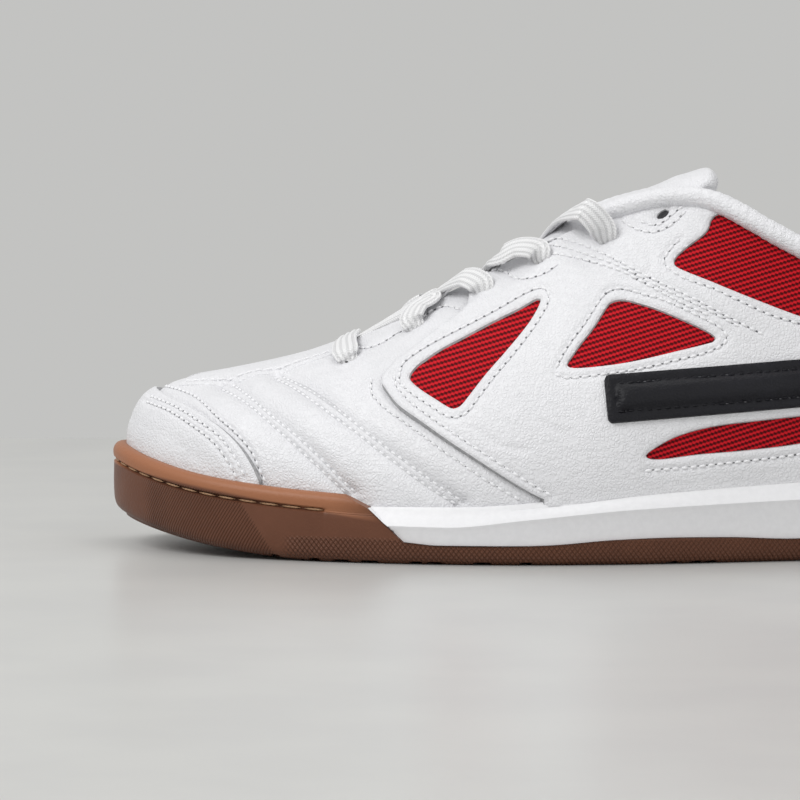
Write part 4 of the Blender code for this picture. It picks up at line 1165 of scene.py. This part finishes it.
def make_stitches(name, rows, lift_at, look=None, pitch=0.00235):
    """Rows of thread on both sides of the shoe, and the shaded needle holes between the stitches.

    lift_at gives the height of the face that carries them from ring, rise and pixels of the outer side.
    """
    shape, shape_faces = stitch_shape()
    turn = np.linspace(0, 2 * math.pi, 7, endpoint=False)
    hole = np.stack([np.cos(turn), np.sin(turn), 0 * turn], -1)
    threads, holes = [], []
    for row in rows:
        ring, rise = row_places(row, pitch)
        if len(ring) < 3:
            continue
        lift = lift_at(ring, rise, seen_at(ring, rise))
        for side in (1, -1):
            out = normal(side * ring, rise)
            place = surface(side * ring, rise) + out * (lift + 0.00020)[:, None]
            run = unit(np.gradient(place, axis=0))
            across = unit(np.cross(out, run))
            up = np.cross(run, across)
            threads.append(copied(shape, shape_faces, place, run, across, up, THREAD_SIZE))
            between = (place[:-1] + place[1:]) / 2 - out[:-1] * 0.00014
            holes.append(copied(hole, [list(range(7))], between, run[:-1], across[:-1], up[:-1],
                                HOLE_SIZE))
    joined(f"stitches_{name}", threads, look or THREAD, "white_lace")
    joined(f"needle_holes_{name}", holes, HOLE, "grey_lining")


def on_vamp(ring, rise, seen):
    """Height of the stitched face on the vamp."""
    return vamp_relief(seen)


def on_cap(ring, rise, seen):
    """Height of the stitched face on the toe cap."""
    return cap_lift(within_mm(seen, CAP_LOOP), seen)


def on_quarter(ring, rise, seen):
    """Height of the stitched face on a side panel, also where a row runs over its edge."""
    return quarter_lift(np.maximum(quarter_distance(ring, rise), 0.3), seen)


def on_heel(ring, rise, seen):
    """Height of the stitched face on the heel counter."""
    return heel_lift(np.maximum(within_mm(seen, HEEL_LOOP), 0.3), seen)


def on_band(ring, rise, seen):
    """Height of the stitched face on the dark band."""
    return band_lift(band_distance(ring, rise), seen)


def make_strip_stitches():
    """Stitches along both edges of the centre strip."""
    shape, shape_faces = stitch_shape()
    ways = np.linspace(0.10, THROAT_START - 0.012, 400)
    rise = 1 - (1 - strip_rise(ways)) * STRIP_SEAM
    lift = strip_relief(STRIP_SEAM) + vamp_relief(seen_at(ways, rise)) * STRIP_SEAM ** 2 + 0.0002
    threads = []
    for side in (1, -1):
        out = normal(side * ways, rise)
        place, at = spaced(surface(side * ways, rise) + out * lift[:, None], 0.001, 0.0026)
        run = unit(np.gradient(place, axis=0))
        across = np.cross(out[at], run)
        threads.append(copied(shape, shape_faces, place, run, across, out[at], THREAD_SIZE * 1.1))
    joined("stitches_strip", threads, THREAD, "white_lace")


def make_sole_stitches():
    """Tan thread in the groove under the outsole's rim, a long stitch every few millimetres."""
    ring = np.linspace(-0.3, 0.3, 1200)
    x, _ = outline(ring)
    line = edge(ring, 0.0008, height(CUP_RIM, x) - 0.0043)
    place, _ = spaced(line[share_of(x) < GROOVE_END], 0.003, 0.0062, 0.003)
    run = unit(np.gradient(place, axis=0))
    across = np.broadcast_to([0, 0, 1.0], run.shape)
    stitches = copied(*stitch_shape(), place, run, across, np.cross(run, across), SOLE_THREAD_SIZE)
    joined("stitches_sole", [stitches], TAN, "gum_rubber")


def ring_uv(ring, levels):
    """UV in metres for stacked rings: way round the sole and height up its side."""
    length = lengths(np.stack(outline(ring), -1))
    return np.concatenate([np.stack([length, level[:, 2]], -1) for level in levels])


def tread_height(x, y):
    """How far the tread is cut up at a place: cross grooves, a pivot ring and the hollow waist."""
    share = share_of(x)
    cut = np.zeros(np.broadcast(x, y).shape)
    for at, width in TREAD:
        off = np.abs(x - LENGTH * (at - 0.5)) / (width / 2)
        cut = np.maximum(cut, TREAD_DEPTH * np.clip(1.4 - off ** 4, 0, 1))
    waist = ramp(share, WAIST[0], 0.006) * ramp(WAIST[1] - share, 0, 0.006)
    waist *= ramp(0.21 - np.abs(y) / BALL_WIDTH, 0, 0.01)
    radius = np.hypot(x - LENGTH * (0.25 - 0.5), y - 0.012)
    pivot = TREAD_DEPTH * 0.8 * bell(radius - 0.017, 0.0012, 4)
    return np.maximum.reduce([cut, waist * WAIST_DEPTH, pivot])


def stacked(ring, levels, wrap=True):
    """Points and faces of a wall of stacked rings, or of arcs without wrap, that faces outwards."""
    points = np.concatenate(levels)
    away = np.stack([*outward(ring), 0 * ring], -1)
    faces = grid_faces(len(levels), len(ring), wrap=wrap).tolist()
    return points, facing(points, faces, np.concatenate([away] * len(levels)))


def lid(points, at, skip, up):
    """Faces across the ring of the points at given numbers, or with skip 1 across an arc."""
    partner = [(int(at[i]), int(at[(len(at) - skip - i) % len(at)])) for i in range(len(at) // 2 + 1)]
    faces = [[a, c, d, b] for (a, b), (c, d) in zip(partner[:-1], partner[1:])]
    return facing(points, welded(faces), np.broadcast_to([0, 0, up], points.shape))


def bridged(rim, cols):
    """Points across a ring from its outer to its inner side, and their share of the way over."""
    half = len(rim) // 2 + 1
    outer = rim[[(len(rim) - i) % len(rim) for i in range(half)]]
    share = np.linspace(0, 1, cols)[None, :, None]
    return outer[:, None] * (1 - share) + rim[:half][:, None] * share, share[..., 0]


def sheet_faces(sheet, up):
    """Points and faces of a sheet that looks up or down."""
    points = sheet.reshape(-1, 3)
    faces = grid_faces(*sheet.shape[:2]).tolist()
    return points, facing(points, faces, np.broadcast_to([0, 0, up], points.shape))


def make_outsole():
    """Gum outsole: rounded side with a stitched groove under the rim, ribbed field, treaded underside."""
    ring = ring_samples(fine(230), fine(130))
    x, _ = outline(ring)
    low, rim, bed, joint = bottom(x), height(CUP_RIM, x), height(FOOTBED, x), joint_height(x)
    notch = tread_height(x, np.zeros(len(ring)))
    notch = np.where((share_of(x) > WAIST[0]) & (share_of(x) < WAIST[1]), 0, notch)
    groove = 0.0011 * ramp(GROOVE_END - share_of(x), 0, 0.004)
    foot, top = GUM_FOOT[-1][1], GUM_RIM[0][1] - 0.0002
    profile = [(inset, low + rise) for inset, rise in GUM_FOOT]
    for share in (0.25, 0.4, 0.55, 0.7, 0.85):
        profile.append((0.0002 * abs(share - 0.5) + 0.0001, low + foot + (rim + top - low - foot) * share))
    profile += [(inset + depth * groove, rim + rise) for inset, rise, depth in GUM_RIM]
    profile.append((RIM_WIDTH, bed))
    levels = []
    for number, (inset, z) in enumerate(profile):
        levels.append(edge(ring, inset, np.minimum(z + (notch if number < 2 else 0), joint)))
    points, faces = stacked(ring, levels)
    under, share = bridged(levels[0], 41)
    rise = tread_height(under[..., 0], under[..., 1])
    inside = (share > 0) & (share < 1)
    under[..., 2] = np.where(inside, bottom(under[:, :1, 0]) + rise, under[..., 2])
    under_points, under_faces = sheet_faces(under, -1.0)
    faces += lid(points, np.arange(len(ring)) + len(points) - len(ring), 0, 1.0)
    faces += raised(under_faces, len(points))
    uv = np.concatenate([ring_uv(ring, levels), under_points[:, :2]])
    points = np.concatenate([points, under_points])
    settled(named("outsole", points, faces, GUM, uv=uv, smooth=35), "gum_rubber", "outsole")


def make_midsole():
    """White foam midsole: bright sloping facet over a steeper one, parted by a soft crease."""
    half = np.linspace(0.322, 1.0, fine(330))
    ring = np.concatenate([half, -half[-2::-1]])
    x, _ = outline(ring)
    rim, bed, facet = height(MIDSOLE_RIM, x), height(FOOTBED, x), height(FACET, x)
    joint = joint_height(x) + 0.0001
    profile = [(0.0030, joint), (0.0014, joint), (0.0011, joint + 0.0004), (0.0009, bottom(x) + 0.0050),
               (0.0006, facet - 0.0012), (0.0003, facet - 0.0004), (0.0002, facet),
               (0.0004, facet + 0.0004), (0.0009, facet + 0.0012), (0.0018, (facet + rim) / 2),
               (0.0026, rim - 0.0014),
               (0.0029, rim - 0.0007), (RIM_WIDTH - 0.0006, rim - 0.0002), (RIM_WIDTH - 0.0003, rim),
               (RIM_WIDTH, rim - 0.0002), (RIM_WIDTH, bed)]
    levels = [edge(ring, inset, np.minimum(np.maximum(z, joint), rim)) for inset, z in profile]
    points, faces = stacked(ring, levels, wrap=False)
    at = np.arange(len(ring))
    faces += lid(points, at, 1, -1.0) + lid(points, at + len(points) - len(ring), 1, 1.0)
    uv = ring_uv(ring, levels)
    settled(named("midsole", points, faces, FOAM, uv=uv, smooth=28), "white_foam", "midsole")


def make_insole():
    """Footbed lining with a rounded rim, slightly dished at the heel."""
    ring = ring_samples(fine(60), fine(60))
    x, _ = outline(ring)
    bed = height(FOOTBED, x) + CLEARANCE
    inset = RIM_WIDTH + CLEARANCE + WALL + 0.0006
    profile = ((0.0004, 0.0), (0.0, 0.0006), (0.0, 0.0024), (0.0003, 0.0028), (0.0010, 0.0030))
    points, faces = stacked(ring, [edge(ring, inset + further, bed + rise) for further, rise in profile])
    top, share = bridged(points[-len(ring):], 31)
    dish = np.sin(math.pi * share) * ramp(top[..., 0] / LENGTH, -0.1, 0.5)
    top[..., 2] -= 0.0011 * dish
    top_points, top_faces = sheet_faces(top, 1.0)
    faces += raised(top_faces, len(points))
    points = np.concatenate([points, top_points])
    settled(named("insole", points, faces, LINING, smooth=50), "grey_lining", "insole")


def material(name, colour, roughness, **values):
    """Principled material with plain socket values."""
    made = bpy.data.materials.new(name)
    made.use_nodes = True
    shader = made.node_tree.nodes["Principled BSDF"]
    shader.inputs["Base Color"].default_value = (*colour, 1)
    shader.inputs["Roughness"].default_value = roughness
    for socket, value in values.items():
        shader.inputs[socket.replace("_", " ")].default_value = value
    return made, made.node_tree, shader


def worked(tree, operation, *inputs):
    """Math node over sockets or numbers."""
    node = tree.nodes.new("ShaderNodeMath")
    node.operation = operation
    for socket, value in zip(node.inputs, inputs):
        if isinstance(value, (int, float)):
            socket.default_value = value
        else:
            tree.links.new(value, socket)
    return node.outputs[0]


def times(tree, first, second):
    """Product of two values."""
    return worked(tree, "MULTIPLY", first, second)


def times_plus(tree, first, second, third):
    """Product of the first two values plus the third."""
    return worked(tree, "MULTIPLY_ADD", first, second, third)


def stepped(tree, value, start, end):
    """Smooth step from 0 at start to 1 at end."""
    node = tree.nodes.new("ShaderNodeMapRange")
    node.interpolation_type = "SMOOTHSTEP"
    node.inputs["From Min"].default_value = start
    node.inputs["From Max"].default_value = end
    tree.links.new(value, node.inputs["Value"])
    return node.outputs["Result"]


def coordinates(tree, kind="Object", turn=0.0):
    """The coordinate's vector and its X, Y and Z, these turned round the Y axis by an angle in degrees."""
    where = tree.nodes.new("ShaderNodeTexCoord").outputs[kind]
    turned = where
    if turn:
        mapping = tree.nodes.new("ShaderNodeMapping")
        mapping.inputs["Rotation"].default_value = (0, math.radians(turn), 0)
        tree.links.new(where, mapping.inputs["Vector"])
        turned = mapping.outputs["Vector"]
    split = tree.nodes.new("ShaderNodeSeparateXYZ")
    tree.links.new(turned, split.inputs["Vector"])
    return where, split.outputs["X"], split.outputs["Y"], split.outputs["Z"]


def noise(tree, where, scale, detail=3.0, stretch=None):
    """Noise value at a scale a metre, stretched along the axes if asked."""
    node = tree.nodes.new("ShaderNodeTexNoise")
    node.inputs["Scale"].default_value = scale
    node.inputs["Detail"].default_value = detail
    if stretch:
        mapping = tree.nodes.new("ShaderNodeMapping")
        mapping.inputs["Scale"].default_value = stretch
        tree.links.new(where, mapping.inputs["Vector"])
        where = mapping.outputs["Vector"]
    tree.links.new(where, node.inputs["Vector"])
    return node.outputs["Fac"]


def wave(tree, value, pitch):
    """Cosine of a length with a given pitch."""
    return worked(tree, "COSINE", times(tree, value, 2 * math.pi / pitch))


def blended(tree, factor, first, second):
    """Mix of two colours or colour sockets."""
    node = tree.nodes.new("ShaderNodeMix")
    node.data_type = "RGBA"
    tree.links.new(factor, node.inputs["Factor"])
    for socket, value in ((node.inputs[6], first), (node.inputs[7], second)):
        if isinstance(value, tuple):
            socket.default_value = (*value, 1)
        else:
            tree.links.new(value, socket)
    return node.outputs[2]


def bump_into(tree, shader, height_socket, strength, distance):
    """Bump node from a height into the shader's normal."""
    bump = tree.nodes.new("ShaderNodeBump")
    bump.inputs["Strength"].default_value = strength
    bump.inputs["Distance"].default_value = distance
    tree.links.new(height_socket, bump.inputs["Height"])
    tree.links.new(bump.outputs["Normal"], shader.inputs["Normal"])


def grain_group():
    """Leather grain: a height of pebbles between fine furrows, wrinkles and pores, and a slow mask."""
    group = bpy.data.node_groups.new("leather_grain", "ShaderNodeTree")
    face = group.interface
    face.new_socket("Cell Scale", in_out="INPUT", socket_type="NodeSocketFloat").default_value = 900
    face.new_socket("Height", in_out="OUTPUT", socket_type="NodeSocketFloat")
    face.new_socket("Mask", in_out="OUTPUT", socket_type="NodeSocketFloat")
    enter, leave = group.nodes.new("NodeGroupInput"), group.nodes.new("NodeGroupOutput")
    where = coordinates(group)[0]
    warp = group.nodes.new("ShaderNodeTexNoise")
    warp.inputs["Scale"].default_value = 380
    group.links.new(where, warp.inputs["Vector"])
    moved = group.nodes.new("ShaderNodeVectorMath")
    moved.operation = "MULTIPLY_ADD"
    moved.inputs[1].default_value = (0.0005, 0.0005, 0.0005)
    group.links.new(warp.outputs["Color"], moved.inputs[0])
    group.links.new(where, moved.inputs[2])
    cells = group.nodes.new("ShaderNodeTexVoronoi")
    cells.feature = "DISTANCE_TO_EDGE"
    group.links.new(moved.outputs[0], cells.inputs["Vector"])
    group.links.new(enter.outputs["Cell Scale"], cells.inputs["Scale"])
    total = stepped(group, cells.outputs["Distance"], 0.0, 0.30)
    for scale, stretch, weight in ((300, (1.0, 1.0, 2.4), 0.8), (340, (2.4, 1.0, 1.0), 0.4)):
        wrinkles = stepped(group, noise(group, where, scale, 2, stretch), 0.30, 0.70)
        total = times_plus(group, wrinkles, weight, total)
    total = times_plus(group, noise(group, where, 1900, 2), 0.25, total)
    group.links.new(total, leave.inputs["Height"])
    group.links.new(noise(group, where, 55, 4), leave.inputs["Mask"])
    return group


def leather_material(name, low, high, roughness, strength, coat):
    """Grained leather whose colour and gloss drift a little over the surface, its grain's furrows painted a
    shade darker.
    """
    made, tree, shader = material(name, high, roughness, Coat_Weight=coat, Coat_Roughness=0.35)
    grain = tree.nodes.new("ShaderNodeGroup")
    grain.node_tree = GRAIN
    grain.inputs["Cell Scale"].default_value = GRAIN_CELLS
    mask, relief = grain.outputs["Mask"], grain.outputs["Height"]
    tone = blended(tree, stepped(tree, mask, 0.35, 0.65), low, high)
    # Painted shade: the grain's low furrows take a slightly darker colour.
    furrow = stepped(tree, relief, 0.1, 1.4)
    tree.links.new(blended(tree, furrow, tuple(0.97 * c for c in low), tone), shader.inputs["Base Color"])
    tree.links.new(times_plus(tree, mask, 0.15, roughness - 0.07), shader.inputs["Roughness"])
    bump_into(tree, shader, relief, strength, 0.00022)
    return made


def mesh_material():
    """Red woven mesh: raised yarns in slanted rows, with painted shade between the rows and in the small
    gaps where they cross.
    """
    made, tree, shader = material("red_mesh", (0.45, 0.012, 0.02), 0.7, Specular_IOR_Level=0.12)
    where, x, _, z = coordinates(tree, turn=17)
    rows = wave(tree, z, 0.00122)
    yarns = wave(tree, times_plus(tree, z, 0.36, x), 0.00098)
    gap = stepped(tree, worked(tree, "ADD", rows, yarns), 1.7, -0.6)
    fibre = noise(tree, where, 2600, 2)
    yarn = blended(tree, fibre, (0.46, 0.006, 0.012), (0.72, 0.014, 0.026))
    # Painted shade: the yarn darkens between the rows.
    yarn = blended(tree, stepped(tree, rows, 1.1, -0.9), (0.24, 0.003, 0.006), yarn)
    # Painted shade: the gaps where the yarns cross are near black.
    tree.links.new(blended(tree, gap, (0.07, 0.002, 0.004), yarn), shader.inputs["Base Color"])
    bump_into(tree, shader, times_plus(tree, fibre, 0.25, gap), 0.9, 0.00035)
    return made


def gum_material():
    """Gum rubber: rim top painted a lighter amber as the light from above, side painted darker as shade,
    slanted ribs round the toe, knurled band along the tread.

    The rim's painted light covers what stands over a line that rises towards the toe. The ribs end at the
    joint's slant, and the knurling starts where they end.
    """
    made, tree, shader = material("gum_rubber", (0.13, 0.06, 0.035), 0.42, Specular_IOR_Level=0.25)
    where, x, _, z = coordinates(tree)
    _, round_way, up_way, _ = coordinates(tree, "UV")
    leaning = times_plus(tree, x, 0.157, z)
    in_front = worked(tree, "SUBTRACT", 1.0, stepped(tree, x, -0.088, -0.070))
    # Painted light: the rim's top over the rising line, in front of the slab, takes a lighter amber for the
    # light from above; the side below is painted darker as shade, with random drift in its tone.
    rim = times(tree, stepped(tree, leaning, -0.0014, -0.0004), in_front)
    side = blended(tree, noise(tree, where, 110, 5), (0.105, 0.040, 0.022), (0.155, 0.062, 0.034))
    tree.links.new(blended(tree, rim, side, (0.33, 0.135, 0.066)), shader.inputs["Base Color"])
    ribs = wave(tree, times_plus(tree, up_way, -0.7, round_way), 0.00096)
    rising, falling = [wave(tree, times_plus(tree, up_way, slope, round_way), 0.0013)
                       for slope in (0.8, -0.8)]
    slant = stepped(tree, times_plus(tree, z, 0.67, x), -0.0990, -0.1005)
    field = times(tree, times(tree, stepped(tree, x, -0.136, -0.132), slant),
                  stepped(tree, leaning, -0.0012, -0.0020))
    band = times(tree, stepped(tree, x, -0.100, -0.094), stepped(tree, z, 0.0068, 0.0058))
    relief = times_plus(tree, times_plus(tree, falling, 0.5, rising), band, times(tree, ribs, field))
    relief = times_plus(tree, noise(tree, where, 1300, 2), 0.35, relief)
    bump_into(tree, shader, relief, 0.8, 0.00028)
    return made


def lace_material():
    """Flat woven lace: slanted picks between the lengthwise ribs, from its own length and width, with
    painted shade in the hollows between them.
    """
    made, tree, shader = material("white_lace", (0.80, 0.80, 0.81), 0.8, Sheen_Weight=0.15)
    _, length, width, _ = coordinates(tree, "UV")
    rib = LACE_WIDTH / LACE_RIBS
    picks = wave(tree, times_plus(tree, worked(tree, "PINGPONG", width, rib / 2), 0.7, length), 0.00062)
    ribs = stepped(tree, wave(tree, width, rib), -1.0, 0.1)
    weave_shading = times_plus(tree, stepped(tree, picks, -0.9, 0.3), 0.4, times(tree, ribs, 0.6))
    # Painted shade: the hollows between ribs and picks are darker than the yarn tops.
    tone = blended(tree, weave_shading, (0.60, 0.60, 0.61), (0.84, 0.84, 0.85))
    tree.links.new(tone, shader.inputs["Base Color"])
    bump_into(tree, shader, times_plus(tree, picks, 0.25, ribs), 0.6, 0.00030)
    return made


def noisy_material(name, low, high, roughness, scale, strength, distance, **values):
    """Material with fine noise in colour and bump."""
    made, tree, shader = material(name, high, roughness, **values)
    value = noise(tree, coordinates(tree)[0], scale, 4)
    tree.links.new(blended(tree, stepped(tree, value, 0.3, 0.7), low, high), shader.inputs["Base Color"])
    bump_into(tree, shader, value, strength, distance)
    return made


GRAIN = grain_group()
LEATHER = leather_material("white_leather", (0.745, 0.745, 0.77), (0.77, 0.77, 0.795), 0.45, 0.5, 0.05)
BLACK = leather_material("black_leather", (0.005, 0.005, 0.008), (0.009, 0.009, 0.013), 0.5, 0.25, 0.0)
BLACK.node_tree.nodes["Principled BSDF"].inputs["Specular IOR Level"].default_value = 0.25
# Cut edges: the walls of the cut panels, painted dark grey as the shade along each panel's edge.
SHADED_CUT_EDGE = noisy_material("shaded_cut_edge", (0.30, 0.30, 0.31), (0.42, 0.42, 0.43), 0.9, 900, 0.4, 0.0002)
CUT_LEATHER = (LEATHER, SHADED_CUT_EDGE)
MESH = mesh_material()
GUM = gum_material()
FOAM = noisy_material("white_foam", (0.78, 0.78, 0.80), (0.81, 0.81, 0.83), 0.5, 700, 0.10, 0.0002)
LINING = noisy_material("grey_lining", (0.50, 0.50, 0.52), (0.62, 0.62, 0.64), 0.9, 1800, 0.5, 0.0003)
LACE = lace_material()
THREAD = noisy_material("white_thread", (0.78, 0.78, 0.80), (0.86, 0.86, 0.88), 0.7, 3000, 0.3, 0.0001)
TAN = noisy_material("tan_thread", (0.30, 0.16, 0.08), (0.46, 0.28, 0.16), 0.6, 2500, 0.3, 0.0001)
# Needle holes: grey discs painted as the shade in each hole between the stitches.
HOLE = noisy_material("needle_hole", (0.11, 0.11, 0.12), (0.20, 0.20, 0.21), 0.9, 1500, 0.2, 0.0001)
# Eyelet shade: near-black sheet painted as the shade seen through each eyelet hole.
EYELET_SHADE = noisy_material("eyelet_shade", (0.015, 0.015, 0.017), (0.04, 0.04, 0.045), 0.8, 1500, 0.2, 0.0001)


def make_stage():
    """Pale floor that ends behind the shoe, grey surroundings, three soft lights and the camera."""
    floor_material = noisy_material("pale_floor", (0.54, 0.54, 0.53), (0.57, 0.57, 0.555), 0.30, 25, 0.02,
                                    0.0005)
    back, wide = OUTER_SIDE + FLOOR_DEPTH, 3.0
    corners = np.array([(-wide, -wide, 0), (wide, -wide, 0), (wide, back, 0), (-wide, back, 0)], float)
    named("floor", corners, [[0, 1, 2, 3]], floor_material, smooth=0)
    world = bpy.data.worlds.new("studio")
    world.use_nodes = True
    world.node_tree.nodes["Background"].inputs["Color"].default_value = (0.545, 0.545, 0.535, 1)
    bpy.context.scene.world = world
    for name, place, size, power in LIGHTS:
        light = bpy.data.lights.new(name, "AREA")
        light.size = size
        light.energy = power
        lamp = bpy.data.objects.new(name, light)
        lamp.location = place
        to_shoe = np.array([0, 0, 0.04]) - np.array(place)
        lamp.rotation_euler = (math.acos(-to_shoe[2] / np.linalg.norm(to_shoe)), 0,
                               math.atan2(to_shoe[1], to_shoe[0]) - math.pi / 2)
        bpy.context.scene.collection.objects.link(lamp)
    lens = bpy.data.cameras.new("camera")
    lens.sensor_width = 36
    lens.lens = FOCAL / IMAGE * lens.sensor_width
    lens.clip_end = 20
    camera = bpy.data.objects.new("camera", lens)
    camera.location = EYE
    camera.rotation_euler = (math.pi / 2 - PITCH, 0, 0)
    bpy.context.scene.collection.objects.link(camera)
    bpy.context.scene.camera = camera
    bpy.context.scene.view_settings.view_transform = "Standard"


make_stage()
make_outsole()
make_midsole()
make_insole()
make_vamp()
make_lining()
make_cap()
make_strip()
make_heel_counter()
make_quarters()
make_mesh()
make_bands()
make_roll()
make_tongue()
make_laces()
make_eyelets()
make_stitches("cap", CAP_ROWS, on_cap)
make_stitches("vamp", VAMP_ROWS + QUILT_ROWS + QUARTER_ROWS[:1] + EYELET_ROWS[3:], on_vamp)
make_stitches("quarter", QUARTER_ROWS[1:] + WINDOW_ROWS + SEAM_ROWS + EYELET_ROWS[:3], on_quarter)
make_stitches("heel", HEEL_ROWS, on_heel)
make_stitches("band", BAND_ROWS, on_band, BLACK)
make_strip_stitches()
make_sole_stitches()
